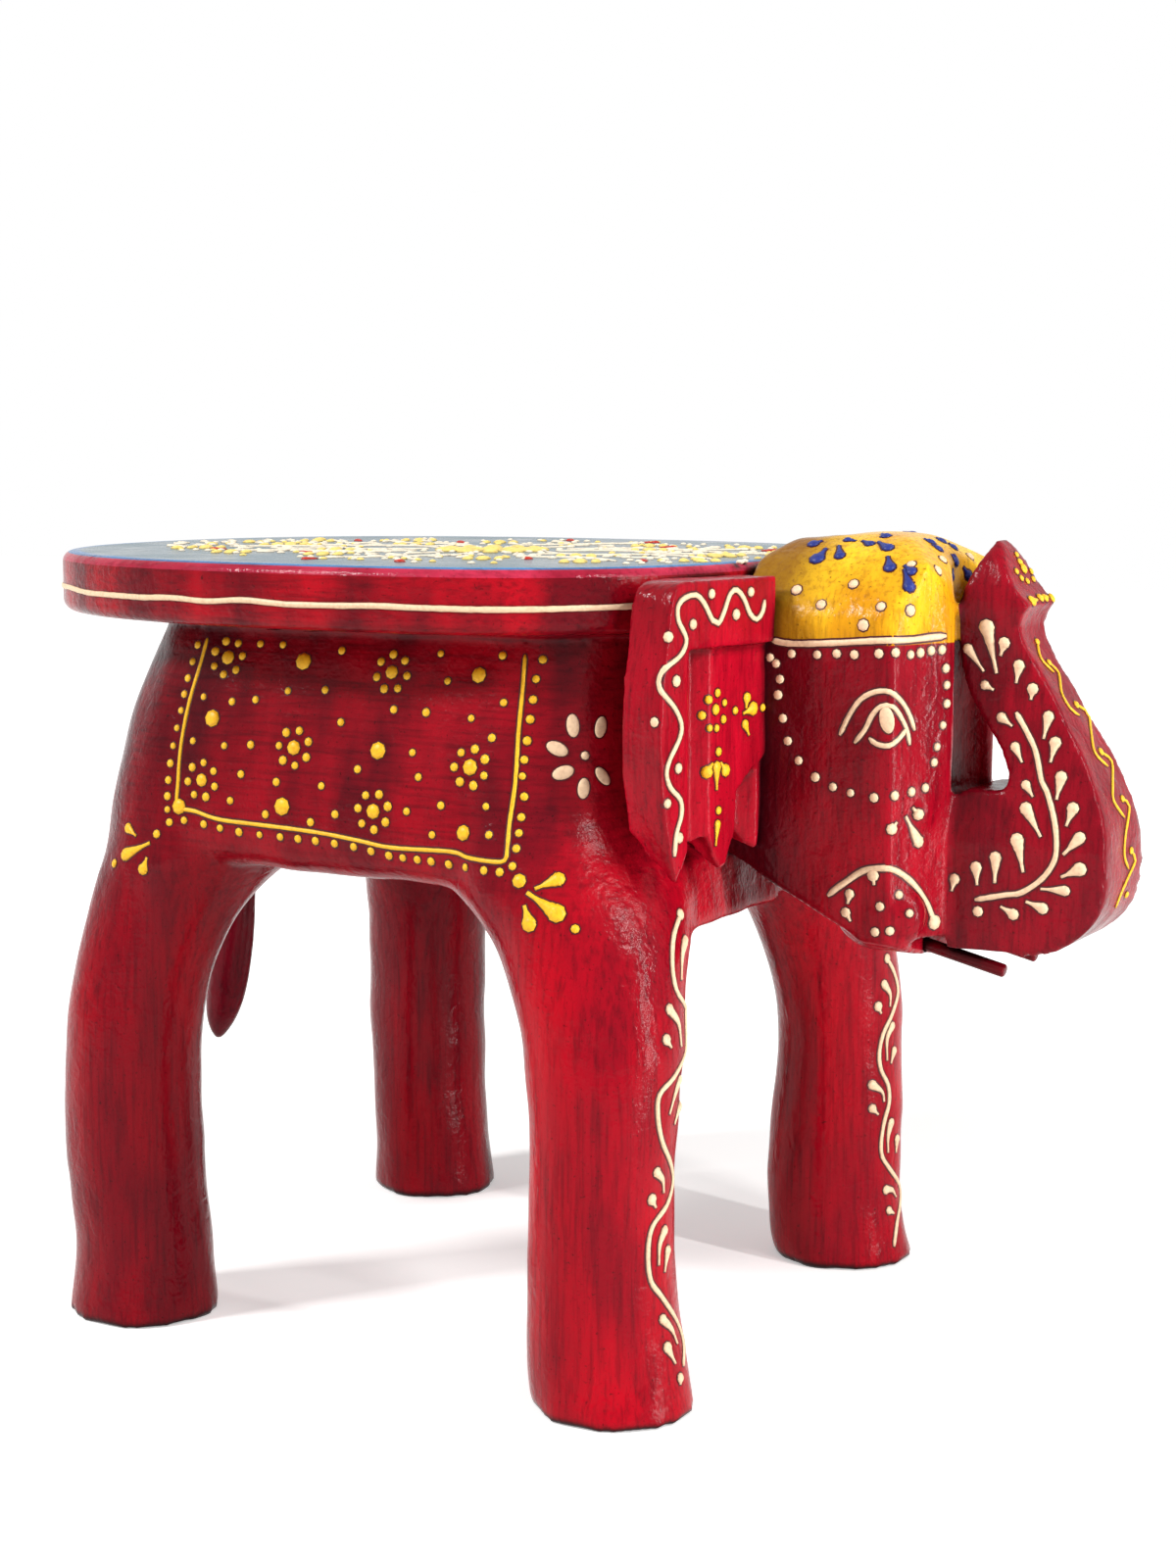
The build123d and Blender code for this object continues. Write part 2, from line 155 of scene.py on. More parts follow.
floor_mesh = bmesh.new()
bmesh.ops.create_grid(floor_mesh, x_segments=1, y_segments=1, size=floor_size / 2)
floor_data = bpy.data.meshes.new("floor")
floor_mesh.to_mesh(floor_data)
floor_mesh.free()
floor_data.materials.append(floor_paper)
floor = bpy.data.objects.new("floor", floor_data)
scene.collection.objects.link(floor)

# Body and legs: mango-wood blocks glued up and rasped into one flowing shape, then painted
# red enamel by hand. Thin dark wash stays in the hollows under a gloss lacquer; in the paint
# it is partly that wash and partly painted shade.
body_grain = 0.002
body_passes = 6
body_rasp = Vector((0.03, 0.03, 0.018))
leg_rasp = Vector((0.014, 0.014, 0.07))
rasp_depth = 0.0007
belly_cut = 0.1665
seat_cut = 0.2575
between_legs = -0.035
leg_bend = 0.03
waist_height = 0.072
waist_reach = 0.05
leg_fits = {
    # ahead and on the right: how far it swells, below what height, its shift and its waist
    (True, True): (0.0032, 0.185, 0.0018, 0.0042),
    (False, True): (-0.0046, 0.086, 0.0, 0.0),
    (True, False): (0.0022, 0.09, 0.0, 0.0),
    (False, False): (0.0, 0.15, 0.003, 0.0),
}
leg_colours_below = 0.150
body_colours_above = 0.205
leg_reds = ("B6051B", "8C0418", "30030D")
# Painted shade: the hind legs and haunch darken towards the rear.
body_rear_shade = (-0.02, -0.10, 0.4)  # where it starts and ends to darken, and how far
body_reds = ("A2091C", "620614", "2A030B")
# Dark brown of the wash: the pin holes, and, together with painted shade, the hollows and the ring
# round thick paint.
wash_and_shade_brown = "1C0508"
chip_wood = "D9B48C"
chip_height = 0.0035
# The brush's direction below and above the change of colours: a small share runs far.
body_strokes = ((1, 1, 0.05), (0.07, 0.3, 1))
upright = ((1, 1, 0.1), (1, 1, 0.1))
enamel_shine = 0.10
streak_width = 0.0016
patch_width = 0.030
patch_shape = (1, 1, 0.35)
pin_width = 0.0011
mark_width = 0.0045
# How far ambient occlusion looks for the dark in the hollows, partly wash and partly painted shade.
crease_shade_reach = 0.004
same_place = 0.00001
in_plane = 0.000001
easing = 0.5


def solids_from(*names):
    """One bmesh of merged copies of CAD solids."""
    solids = bmesh.new()
    for name in names:
        solids.from_mesh(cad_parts[name].data)
    bmesh.ops.remove_doubles(solids, verts=solids.verts, dist=same_place)
    return solids


def soften(shape, verts, passes):
    """Draws vertices towards their neighbours, so that the corners between them ease."""
    for _ in range(passes):
        bmesh.ops.smooth_vert(
            shape, verts=verts, factor=easing, use_axis_x=True, use_axis_y=True, use_axis_z=True,
        )


def carve(solids, grain, passes):
    """Gives joined solids one even skin with facets as large as the grain, and softens it."""
    blank_mesh = bpy.data.meshes.new("blank")
    solids.to_mesh(blank_mesh)
    solids.free()
    blank = bpy.data.objects.new("blank", blank_mesh)
    scene.collection.objects.link(blank)
    skin = blank.modifiers.new("skin", "REMESH")
    skin.mode = "VOXEL"
    skin.voxel_size = grain
    carved = bmesh.new()
    carved.from_object(blank, bpy.context.evaluated_depsgraph_get())
    bpy.data.objects.remove(blank)
    soften(carved, carved.verts, passes)
    return carved


def rasp(carved, wave, depth):
    """Shallow tool waves, the same on both sides: moves each vertex along its normal by noise."""
    carved.normal_update()
    for vertex in carved.verts:
        place = vertex.co
        stroke_place = Vector((place.x / wave.x, abs(place.y) / wave.y, place.z / wave.z))
        vertex.co += vertex.normal * noise.noise(stroke_place) * depth


def saw(carved, place, normal):
    """A copy of a solid without what lies ahead of a plane, with the cut closed."""
    sawn = carved.copy()
    cut = bmesh.ops.bisect_plane(
        sawn, geom=sawn.verts[:] + sawn.edges[:] + sawn.faces[:], dist=in_plane,
        plane_co=place, plane_no=normal, clear_outer=True,
    )
    rim = [item for item in cut["geom_cut"] if isinstance(item, bmesh.types.BMEdge)]
    for edge in rim:
        edge.smooth = False
    bmesh.ops.holes_fill(sawn, edges=rim, sides=0)
    return sawn


def add_piece(name, shape, material, slot, *nodes):
    """Makes a bmesh a smooth piece of the stool that stands for CAD nodes."""
    mesh = bpy.data.meshes.new(name)
    shape.to_mesh(mesh)
    shape.free()
    mesh.polygons.foreach_set("use_smooth", [True] * len(mesh.polygons))
    for finish in material if isinstance(material, list) else [material]:
        mesh.materials.append(finish)
    piece = bpy.data.objects.new(name, mesh)
    scene.collection.objects.link(piece)
    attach(piece, "root")
    if nodes:
        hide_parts(*nodes)
    return piece


def new_finish(name):
    """A node material, a function that adds a node to it, its shader and where on the piece."""
    finish = bpy.data.materials.new(name)
    finish.use_nodes = True
    node = partial(add_node, finish.node_tree)
    place = node("TexCoord", {}).outputs["Object"]
    return finish, node, finish.node_tree.nodes["Principled BSDF"], place


def enamel(name, lower, upper=None, change=(0, 1), strokes=upright, rear=None, chips=False):
    """Hand-brushed enamel under lacquer, in one or two sets of colours that meet at a height.

    The eye gets brush streaks, cloudy patches, dark pin holes, dark wash in the hollows
    that is partly painted shade, gloss that breaks up on tool marks, painted shade that
    darkens the rear where one is given, and on the body chipped soles.
    """
    paint, node, shader, place = new_finish(name)
    along, _, height = node("SeparateXYZ", {0: place}).outputs
    above = node("MapRange", {"Value": height, "From Min": change[0], "From Max": change[1]})
    lines = []
    for direction in strokes:
        drawn = node("VectorMath", {"operation": "MULTIPLY", 0: place, 1: direction})
        lines.append(node("TexNoise", {
            "Vector": drawn, "Scale": 1 / streak_width, "Detail": 4.0, "Roughness": 0.6,
        }))
    streaks = node("Mix", {"data_type": "FLOAT", 0: above, 2: lines[0], 3: lines[1]})
    drawn = node("VectorMath", {"operation": "MULTIPLY", 0: place, 1: patch_shape})
    patches = node("TexNoise", {
        "Vector": drawn, "Scale": 1 / patch_width, "Detail": 3.0, "Roughness": 0.6,
    })
    pins = node("TexNoise", {"Vector": place, "Scale": 1 / pin_width, "Detail": 2.0})
    patchy = node("MapRange", {"Value": patches, "From Min": 0.38, "From Max": 0.64})
    light, middle, dark = (
        node("Mix", {"data_type": "RGBA", 0: above, 6: linear(low), 7: linear(high)})
        for low, high in zip(lower, upper or lower)
    )
    ground = node("Mix", {"data_type": "RGBA", 0: patchy, 6: middle, 7: light})
    streaky = node("MapRange", {
        "Value": streaks, "From Min": 0.46, "From Max": 0.74, "To Max": 0.58,
    })
    pinned = node("MapRange", {"Value": pins, "From Min": 0.64, "From Max": 0.76, "To Max": 0.7})
    # Dark where ambient occlusion finds the surface hemmed in: partly the wash, partly painted shade.
    crease_shade = node("AmbientOcclusion", {"samples": 8, "Distance": crease_shade_reach}).outputs["AO"]
    depth = node("MapRange", {
        "Value": crease_shade, "From Min": 0.58, "From Max": 1.0, "To Min": 0.95, "To Max": 0.0,
    })
    wash = linear(wash_and_shade_brown)
    coats = [(streaky, dark), (pinned, wash), (depth, wash)]
    # Painted shade: darker towards the rear.
    if rear:
        rearward_shade = node("MapRange", {
            "Value": along, "From Min": rear[0], "From Max": rear[1], "To Max": rear[2],
        })
        coats.append((rearward_shade, dark))
    if chips:
        rise = node("MapRange", {
            "Value": height, "To Min": 0.6, "To Max": 1.1, "From Max": chip_height,
        })
        chipped = node("Math", {"operation": "GREATER_THAN", 0: patches, 1: rise})
        coats.append((chipped, linear(chip_wood)))
    for share, coat in coats:
        ground = node("Mix", {"data_type": "RGBA", 0: share, 6: ground, 7: coat})
    gloss = node("MapRange", {
        "Value": patches, "From Min": 0.3, "From Max": 0.7, "To Min": 0.13, "To Max": 0.30,
    })
    marks = node("TexNoise", {
        "Vector": place, "Scale": 1 / mark_width, "Detail": 1.0, "Distortion": 0.6,
    })
    before = {}
    for strength, rise, texture in ((0.14, 0.0006, streaks), (0.3, 0.0004, pins), (0.4, 0.0009, marks)):
        before["Normal"] = node("Bump", {
            "Strength": strength, "Distance": rise, "Height": texture, **before,
        })
    set_node(shader, {
        "Base Color": ground, "Roughness": gloss, "Specular IOR Level": enamel_shine, **before,
    })
    return paint


body_paint = enamel(
    "red_enamel_on_mango_wood", leg_reds, body_reds,
    (leg_colours_below, body_colours_above), body_strokes, body_rear_shade, chips=True,
)
body = carve(
    solids_from(
        "torso_block", "leg_front_right", "leg_front_left", "leg_hind_right",
        "leg_hind_left", "leg_dowels", "seat_board", "seat_nails",
    ),
    body_grain, body_passes,
)
rasp(body, body_rasp, rasp_depth)
rasp(body, leg_rasp, rasp_depth)
for vertex in body.verts:
    swell, fit_top, shift, waist = leg_fits[vertex.co.x > between_legs, vertex.co.y < 0]
    share = min(1, max(0, (fit_top - vertex.co.z) / leg_bend))
    slimming = max(0, 1 - ((vertex.co.z - waist_height) / waist_reach) ** 2) * waist
    facing = max(0, vertex.normal.x * copysign(1, swell))
    vertex.co.x += share * (shift + facing * (swell - slimming))
    vertex.co.z = max(vertex.co.z, 0)
skins = []
for across in (1, -1):
    half = saw(body, (0, 0, 0), (0, across, 0))
    skins.append(BVHTree.FromBMesh(half))
    half.free()
body_skin, far_skin = skins

below_seat = saw(body, (0, 0, seat_cut), (0, 0, 1))
torso = saw(below_seat, (0, 0, belly_cut), (0, 0, -1))
add_piece("carved_body", torso, body_paint, "red_paint", "torso_block")
legs = saw(below_seat, (0, 0, belly_cut), (0, 0, 1))
for end, along in (("front", -1), ("hind", 1)):
    pair = saw(legs, (between_legs, 0, 0), (along, 0, 0))
    for side, across in (("right", 1), ("left", -1)):
        leg = saw(pair, (0, 0, 0), (0, across, 0))
        name = f"leg_{end}_{side}"
        add_piece(f"carved_{name}", leg, body_paint, "red_paint", name)
    pair.free()
legs.free()
below_seat.free()
body.free()

# Seat: one oval plank with eased edges, its top painted petrol blue with a bright blue
# border, its edge red with a rose painted sheen on the slanting lip, nailed down on the back.
seat_low, seat_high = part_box("seat_board")
seat_line = -0.052
seat_back_power = 2.3
seat_front_power = 2.9
seat_edge = 0.0042
seat_edge_steps = 6
seat_steps = 160
border_width = 0.0022
border_lean = 0.90
least_top = 0.01
level = 0.001
paint_room = 0.0008
# Above this slant the eased lip takes the rose painted sheen.
lip_sheen_lean = 0.2


def seat_reach(angle, inset=0.0):
    """A point of the seat's outline, or of one drawn inside it, at an angle round its widest line."""
    ahead = cos(angle) > 0
    reach = (seat_high.x - seat_line if ahead else seat_line - seat_low.x) - inset
    power = 2 / (seat_front_power if ahead else seat_back_power)
    half_width = seat_high.y - inset
    return Vector((
        seat_line + reach * copysign(abs(cos(angle)) ** power, cos(angle)),
        half_width * copysign(abs(sin(angle)) ** power, sin(angle)),
        seat_high.z,
    ))


seat_strokes = ((0.08, 1, 1), (0.08, 1, 1))
seat_finishes = [
    enamel(name, colours, strokes=seat_strokes)
    for name, colours in (
        ("red_enamel_on_seat_edge", ("B00B1C", "6A0614", "34040C")),
        ("petrol_blue_enamel", ("52707C", "42606C", "4A4640")),
        # Painted sheen: the rose of the lip stands for the light it catches.
        ("rose_sheen_on_seat_lip", ("C0304C", "9C1C34", "6A0E20")),
        ("bright_blue_enamel_border", ("3A7CB4", "2C6296", "1E3E60")),
    )
]
plank = bmesh.new()
bmesh.ops.create_circle(plank, cap_ends=True, segments=seat_steps, radius=1)
for vertex in plank.verts:
    turn = Vector((vertex.co.x, vertex.co.y))
    vertex.co = seat_reach(-Vector((1, 0)).angle_signed(turn), paint_room)
thick = bmesh.ops.extrude_face_region(plank, geom=plank.faces[:])
lower = [item for item in thick["geom"] if isinstance(item, bmesh.types.BMVert)]
bmesh.ops.translate(plank, verts=lower, vec=(0, 0, seat_low.z - seat_high.z))
bmesh.ops.recalc_face_normals(plank, faces=plank.faces)
rims = [edge for edge in plank.edges if abs(edge.verts[0].co.z - edge.verts[1].co.z) < level]
bmesh.ops.bevel(
    plank, geom=rims, offset=seat_edge, offset_type="OFFSET", segments=seat_edge_steps,
    affect="EDGES", profile=0.5, material=-1,
)
top = max(plank.faces, key=lambda face: face.calc_center_median().z + face.calc_area())
bmesh.ops.inset_region(plank, faces=[top], thickness=border_width)
for face in plank.faces:
    if face.normal.z > border_lean:
        face.material_index = 1 if face.calc_area() > least_top else 3
    # The slanting lip gets the rose painted sheen.
    elif face.normal.z > lip_sheen_lean:
        face.material_index = 2
add_piece("seat_plank", plank, seat_finishes, "seat_paint", "seat_board")

# Head and trunk: a flat-cheeked skull block with a domed cap, and a board sawn to a J that
# is glued on its face and faired in. The cap is golden yellow, the rest red.
head_grain = 0.0013
head_passes = 2
dome_passes = 18
dome_front = 0.145
head_rasp = Vector((0.012, 0.012, 0.02))
head_rasp_depth = 0.0006
cap_line = 0.2545
cap_blur = 0.0002
trunk_joint = 0.152
trunk_room = 0.02
trunk_toe = 0.205
trunk_toe_blend = 0.02
trunk_fill = 0.0040
trunk_fill_way = Vector((0.7, 0, -0.7))
trunk_front = 0.2063
face_reds = ("AC0A20", "840618", "36030D")
trunk_reds = ("9A0A1E", "740617", "34030D")
cap_golds = ("FFC826", "D89212", "744410")
# Painted shade: the back of the head and cap, behind the ears, darkens.
head_rear_shade = (0.116, 0.098, 0.85)
cheek_bumps = (
    # place on the right and size
    ((0.1415, 0.0262, 0.1990), (0.008, 0.008, 0.010)),
    ((0.1330, 0.0325, 0.1640), (0.016, 0.010, 0.013)),
)


def largest_part(shape):
    """Deletes every loose part of a bmesh except the one with the most vertices."""
    unseen = set(shape.verts)
    parts = []
    while unseen:
        reached = [unseen.pop()]
        for vertex in reached:
            around = {edge.other_vert(vertex) for edge in vertex.link_edges} & unseen
            unseen -= around
            reached.extend(around)
        parts.append(reached)
    keep = set(max(parts, key=len))
    bmesh.ops.delete(shape, geom=[vert for vert in shape.verts if vert not in keep], context="VERTS")
    return shape


blocks = solids_from("head_block", "trunk_board", "trunk_dowels", "neck_dowels", "ear_dowels")
for (ahead, beside, height), size in cheek_bumps:
    for across in (1, -1):
        place = Vector((ahead, beside * across, height))
        bulge = Matrix.Translation(place) @ Matrix.Diagonal(size + (1,))
        bmesh.ops.create_icosphere(blocks, subdivisions=3, radius=1, matrix=bulge)
face_block = carve(blocks, head_grain, head_passes)
dome = [vert for vert in face_block.verts if vert.co.z > cap_line and vert.co.x < dome_front]
soften(face_block, dome, dome_passes)
rasp(face_block, head_rasp, head_rasp_depth)
for vertex in face_block.verts:
    ahead = max(0, vertex.co.x - trunk_joint)
    vertex.co.x -= ahead * trunk_room
    share = min(1, max(0, (trunk_toe - vertex.co.z) / trunk_toe_blend)) if ahead else 0
    corner = 2 * max(0, vertex.normal.x) * max(0, -vertex.normal.z)
    vertex.co += trunk_fill_way * share * corner * trunk_fill
    vertex.co.x = min(vertex.co.x, trunk_front)
face_skin = BVHTree.FromBMesh(face_block)

head = largest_part(saw(face_block, (trunk_joint, 0, 0), (1, 0, 0)))
trunk = largest_part(saw(face_block, (trunk_joint, 0, 0), (-1, 0, 0)))
face_block.free()
head_paint = enamel(
    "golden_cap_and_red_face_enamel", face_reds, cap_golds,
    (cap_line - cap_blur, cap_line + cap_blur), rear=head_rear_shade,
)
trunk_paint = enamel("red_enamel_on_trunk", trunk_reds)
add_piece("carved_head", head, head_paint, "red_paint", "head_block")
add_piece("carved_trunk", trunk, trunk_paint, "red_paint", "trunk_board")

# Ears: thick boards pegged to the sides of the head, with a sunk field inside a raised
# band and three pointed lappets that lie behind each other like folds.


def flow(spots, gap):
    """Evenly spaced points along a smooth line through given points."""
    knots = [Vector((*spot[:2], 0)) for spot in spots]
    knots = [2 * knots[0] - knots[1]] + knots + [2 * knots[-1] - knots[-2]]
    walked = []
    for before, start, end, after in zip(knots, knots[1:], knots[2:], knots[3:]):
        parts = max(1, round((end - start).length / gap))
        walked += geometry.interpolate_bezier(
            start, start + (end - before) / 6, end - (after - start) / 6, end, parts + 1,
        )[:-1]
    return walked + [knots[-2]]


ear_root = Vector((0.0975, -0.042, 0))
ear_sweep = 11.6
ear_thickness = 0.0165
tip_thickness = 0.002
ear_grain = 0.00075
ear_passes = 3
ear_rasp = Vector((0.008, 0.008, 0.012))
ear_rasp_depth = 0.0003
rim_gap = 2
ear_reds = ("B20922", "8C0718", "40030E")
ear_rim = [
    # out from the head and height, in millimetres
    (41, 276), (48, 275.7), (52.6, 272.6), (54.6, 265), (55.9, 256.4), (57.4, 248),
    (58.4, 240), (59.1, 228), (58.9, 218), (57.9, 207), (56, 197), (53.4, 187), (50.9, 178.7),
]
# Each fold: outline points as (out from the head, height, depth behind the face), in mm.
ear_folds = {
    "band": flow(ear_rim, rim_gap) + [(44.5, 188, 0), (44.5, 254, 0), (-8, 254, 0), (-8, 276, 0)],
    "groove": [
        (45.5, 256, 7.6), (34.9, 256, 7.6), (34.9, 189.4, 7.6), (36.5, 190.5, 7.6),
        (43.6, 189, 7.6), (45.5, 190, 7.6),
    ],
    "slope": [(35.1, 256, 7.6), (30.3, 256, 3.2), (30.3, 192, 3.4), (32, 191, 5), (35.1, 189.4, 7.6)],
    "field": [
        (-8, 256, 3.2), (30.5, 256, 3.2), (30.2, 190, 3.2), (27.4, 183.6, 3.2),
        (24.3, 179.8, 3.2), (21.5, 180.5, 3.2), (17.5, 189.1, 3.2), (16.1, 193.6, 3.2),
        (15.5, 205, 3.2), (4, 214, 3.2), (-8, 219, 3.2),
    ],
    "fold": [
        (17, 208, 9.2), (10, 212, 8), (4, 216, 3.6), (4, 184.2, 3.6), (7.5, 186.6, 6.2),
        (9.4, 189.5, 8), (13, 193, 8.6), (17, 195, 9.2),
    ],
    "hem": [
        (4.1, 216, 3.6), (-8, 221, 7.5), (-8, 204, 7.5), (0, 195, 5), (1.6, 189, 4.5),
        (4.1, 184.1, 3.6),
    ],
}
ear_out = Vector((-sin(radians(ear_sweep)), -cos(radians(ear_sweep)), 0))
ear_back = Vector((-cos(radians(ear_sweep)), sin(radians(ear_sweep)), 0))


def other_side(shape):
    """A mirror copy of a shape on the elephant's left."""
    left = shape.copy()
    bmesh.ops.scale(left, vec=(1, -1, 1), verts=left.verts)
    bmesh.ops.reverse_faces(left, faces=left.faces)
    return left


ear = bmesh.new()
for outline in ear_folds.values():
    lowest = min(height for _, height, _ in outline) / 1000
    face = ear.faces.new([
        ear.verts.new(ear_root + (ear_out * out + ear_back * deep + Vector((0, 0, height))) / 1000)
        for out, height, deep in outline
    ])
    grown = bmesh.ops.extrude_face_region(ear, geom=[face])
    for item in grown["geom"]:
        if isinstance(item, bmesh.types.BMVert):
            full = ear_thickness - (item.co - ear_root).dot(ear_back)
            item.co += ear_back * min(full, tip_thickness + item.co.z - lowest)
bmesh.ops.recalc_face_normals(ear, faces=ear.faces)
ear = carve(ear, ear_grain, ear_passes)
rasp(ear, ear_rasp, ear_rasp_depth)
ear_right = saw(ear, ear_root, (0, 1, 0))
ear.free()
ear_skin = BVHTree.FromBMesh(ear_right)
ear_paint = enamel("red_enamel_on_ears", ear_reds)
add_piece("carved_ear_left", other_side(ear_right), ear_paint, "red_paint", "ear_left")
add_piece("carved_ear_right", ear_right, ear_paint, "red_paint", "ear_right")

# Tail: a carved strip that lies against the rump and ends in a leaf-shaped tuft with a
# ridge down its middle, pegged on and painted dark red.
tail_grain = 0.001
tail_passes = 3
tuft_sides = 8
tail_reds = ("6A0618", "4A0513", "22030A")
tuft_rings = (
    # height, place along the body, half depth and half width
    (0.1240, -0.1660, 0.0020, 0.0030),
    (0.1120, -0.1675, 0.0062, 0.0075),
    (0.1000, -0.1700, 0.0068, 0.0085),
    (0.0900, -0.1712, 0.0050, 0.0065),
    (0.0800, -0.1720, 0.0012, 0.0014),
)

tail = solids_from("tail", "tail_dowel")
rings = []
for height, along, half_depth, half_width in tuft_rings:
    size = Matrix.Diagonal((half_depth, half_width, 1, 1))
    ring = bmesh.ops.create_circle(
        tail, segments=tuft_sides, radius=1, matrix=Matrix.Translation((along, 0, height)) @ size,
    )["verts"]
    rings.append(list({edge for vertex in ring for edge in vertex.link_edges}))
for upper, lower in zip(rings, rings[1:]):
    bmesh.ops.bridge_loops(tail, edges=upper + lower)
for end_ring in (rings[0], rings[-1]):
    bmesh.ops.holes_fill(tail, edges=end_ring, sides=0)
tail = carve(tail, tail_grain, tail_passes)
rasp(tail, head_rasp, head_rasp_depth)
tail_paint = enamel("dark_red_enamel_on_tail", tail_reds)
add_piece("carved_tail", largest_part(tail), tail_paint, "red_paint", "tail")

# Tusks, pegs and nails: turned pegs of pale hardwood, the tusks brushed dark red and the
# rest bare inside the glued joints, and drawn steel nails sunk under the seat's paint.
tusk_reds = ("7A0718", "56060F", "2A040A")
tusk_strokes = ((0.1, 1, 1), (0.1, 1, 1))
peg_pale = "D8B98C"
peg_dark = "A8794A"
peg_grain_width = 0.0007
steel_grey = "9A9CA0"
drawn_line_width = 0.0003


def peg_wood():
    """Bare close-grained hardwood: fine darker lines along the peg and a dull sanded face."""
    wood, node, shader, place = new_finish("bare_turned_hardwood")
    grain = node("TexNoise", {
        "Vector": place, "Scale": 1 / peg_grain_width, "Detail": 4.0, "Distortion": 0.4,
    })
    colour = node("Mix", {"data_type": "RGBA", 0: grain, 6: linear(peg_pale), 7: linear(peg_dark)})
    relief = node("Bump", {"Strength": 0.2, "Distance": 0.0002, "Height": grain})
    set_node(shader, {"Base Color": colour, "Normal": relief, "Roughness": 0.65})
    return wood


def nail_steel():
    """Drawn bright steel wire: a grey metal with faint lines and uneven shine."""
    steel, node, shader, place = new_finish("drawn_steel_wire")
    lines = node("TexNoise", {"Vector": place, "Scale": 1 / drawn_line_width, "Detail": 2.0})
    shine = node("MapRange", {"Value": lines, "To Min": 0.3, "To Max": 0.5})
    set_node(shader, {"Base Color": linear(steel_grey), "Roughness": shine, "Metallic": 1.0})
    return steel


tusk_paint = enamel("dark_red_enamel_on_tusks", tusk_reds, strokes=tusk_strokes)
bare_wood = peg_wood()
steel = nail_steel()
for material, names in (
    (tusk_paint, ("tusk_right", "tusk_left")),
    (bare_wood, ("leg_dowels", "neck_dowels", "trunk_dowels", "ear_dowels", "tail_dowel")),
    (steel, ("seat_nails",)),
):
    for name in names:
        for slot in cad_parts[name].material_slots:
            slot.material = material

# Blanket: yellow relief paint piped from a cone onto the flanks. A line with a row of dots
# outside it, small flowers and dots inside it, and a spray of drops at each lower corner.
line_width = 0.0015
small_dot = 0.0029
petal_dot = 0.0032
core_dot = 0.0055
big_dot = 0.0060
wave_dot = petal_dot * 1.15
small_core = core_dot * 0.8
flower_reach = 0.0062
flower_petals = 7
dot_gap = 17
bead_height = 0.00035
bead_swell = 0.16
bead_sides = 8
dab_rings = 5
petal_rings = 7
line_gap = 5
drop_gap = 3
dab_spread = (0.88, 1.1)
bead_spread = (0.92, 1.06)
bead_end = 0.5
tail_least = 0.24
tail_start = 0.96
tail_taper = 1.1
petal_zero = Vector((0.3, 0.2, 1))
blanket_line = [
    (212, 651), (204, 680), (193, 718), (185, 760), (182, 797), (182, 822), (200, 828),
    (223, 836), (260, 841), (300, 846), (333, 851), (367, 858), (400, 865), (460, 869),
    (477, 875), (500, 879), (515, 878), (518, 862), (520, 840), (526, 797), (529, 750),
    (533, 707), (536, 668),
]
blanket_dots = [
    (202, 658), (192, 692), (185, 725), (177, 761), (172, 796), (171, 826), (173, 839),
    (188, 837), (208, 841), (244, 849), (286, 854), (322, 858), (361, 864), (397, 873),
    (440, 879), (475, 885), (510, 890), (523, 884), (527, 866), (532, 834), (535, 813),
    (533, 792), (538, 756), (544, 714), (547, 693), (554, 673),
]
blanket_flowers = [(233, 671), (300, 763), (206, 796), (381, 828), (400, 686), (480, 783)]
blanket_big_dots = [(310, 675), (217, 733), (386, 766), (288, 823), (489, 689), (473, 850)]
blanket_small_dots = [
    (266, 657), (289, 658), (349, 664), (450, 667), (513, 669), (208, 711), (237, 716),
    (261, 714), (294, 705), (332, 704), (348, 737), (402, 724), (435, 727), (457, 695),
    (481, 733), (514, 717), (502, 753), (197, 756), (229, 761), (256, 760), (246, 790),
    (235, 817), (282, 798), (328, 802), (365, 785), (421, 768), (427, 793), (342, 831),
    (317, 839), (271, 831), (415, 828), (450, 822), (441, 852), (496, 823), (499, 852),
]
blanket_corner = (183, 823)
corner_dots = [(160, 851), (117, 881), (587, 948)]
corner_drops = [
    # head, tail, width in millimetres
    ((131, 845), (139, 853), 4), ((128, 872), (153, 860), 5.2),
    ((146, 887), (150, 875), 4.6), ((530, 899), (532, 903), 5),
    ((570, 897), (546, 907), 5.4), ((568, 932), (538, 911), 6.2),
    ((540, 943), (535, 924), 5.8),
]
camera_turn = camera.rotation_euler.to_matrix()
sight_length = lens_length / sensor_height * frame_height
hand = random.Random(11)


def sighted(skin, spots):
    """Where lines of sight through points of the frame meet a skin, or pass just beside it."""
    touches = []
    reach = camera_place.length
    for spot in spots:
        sight = Vector((spot[0] - frame_width / 2, frame_height / 2 - spot[1], -sight_length))
        sight = (camera_turn @ sight).normalized()
        place, normal, _, _ = skin.ray_cast(camera_place, sight)
        if place is None:
            place, normal, _, _ = skin.find_nearest(camera_place + sight * reach)
        reach = (place - camera_place).length
        touches.append((place, normal))
    return touches


def dab(relief, touch, width):
    """A dot of thick paint: a low dome on the skin, a little uneven from dot to dot."""
    place, normal = touch
    across = width / 2 * hand.uniform(*dab_spread)
    size = Matrix.Diagonal((across, across, bead_height + bead_swell * width, 1))
    turn = normal.to_track_quat("Z", "Y").to_matrix().to_4x4()
    bmesh.ops.create_uvsphere(
        relief, u_segments=bead_sides, v_segments=dab_rings, radius=1,
        matrix=Matrix.Translation(place) @ turn @ size,
    )


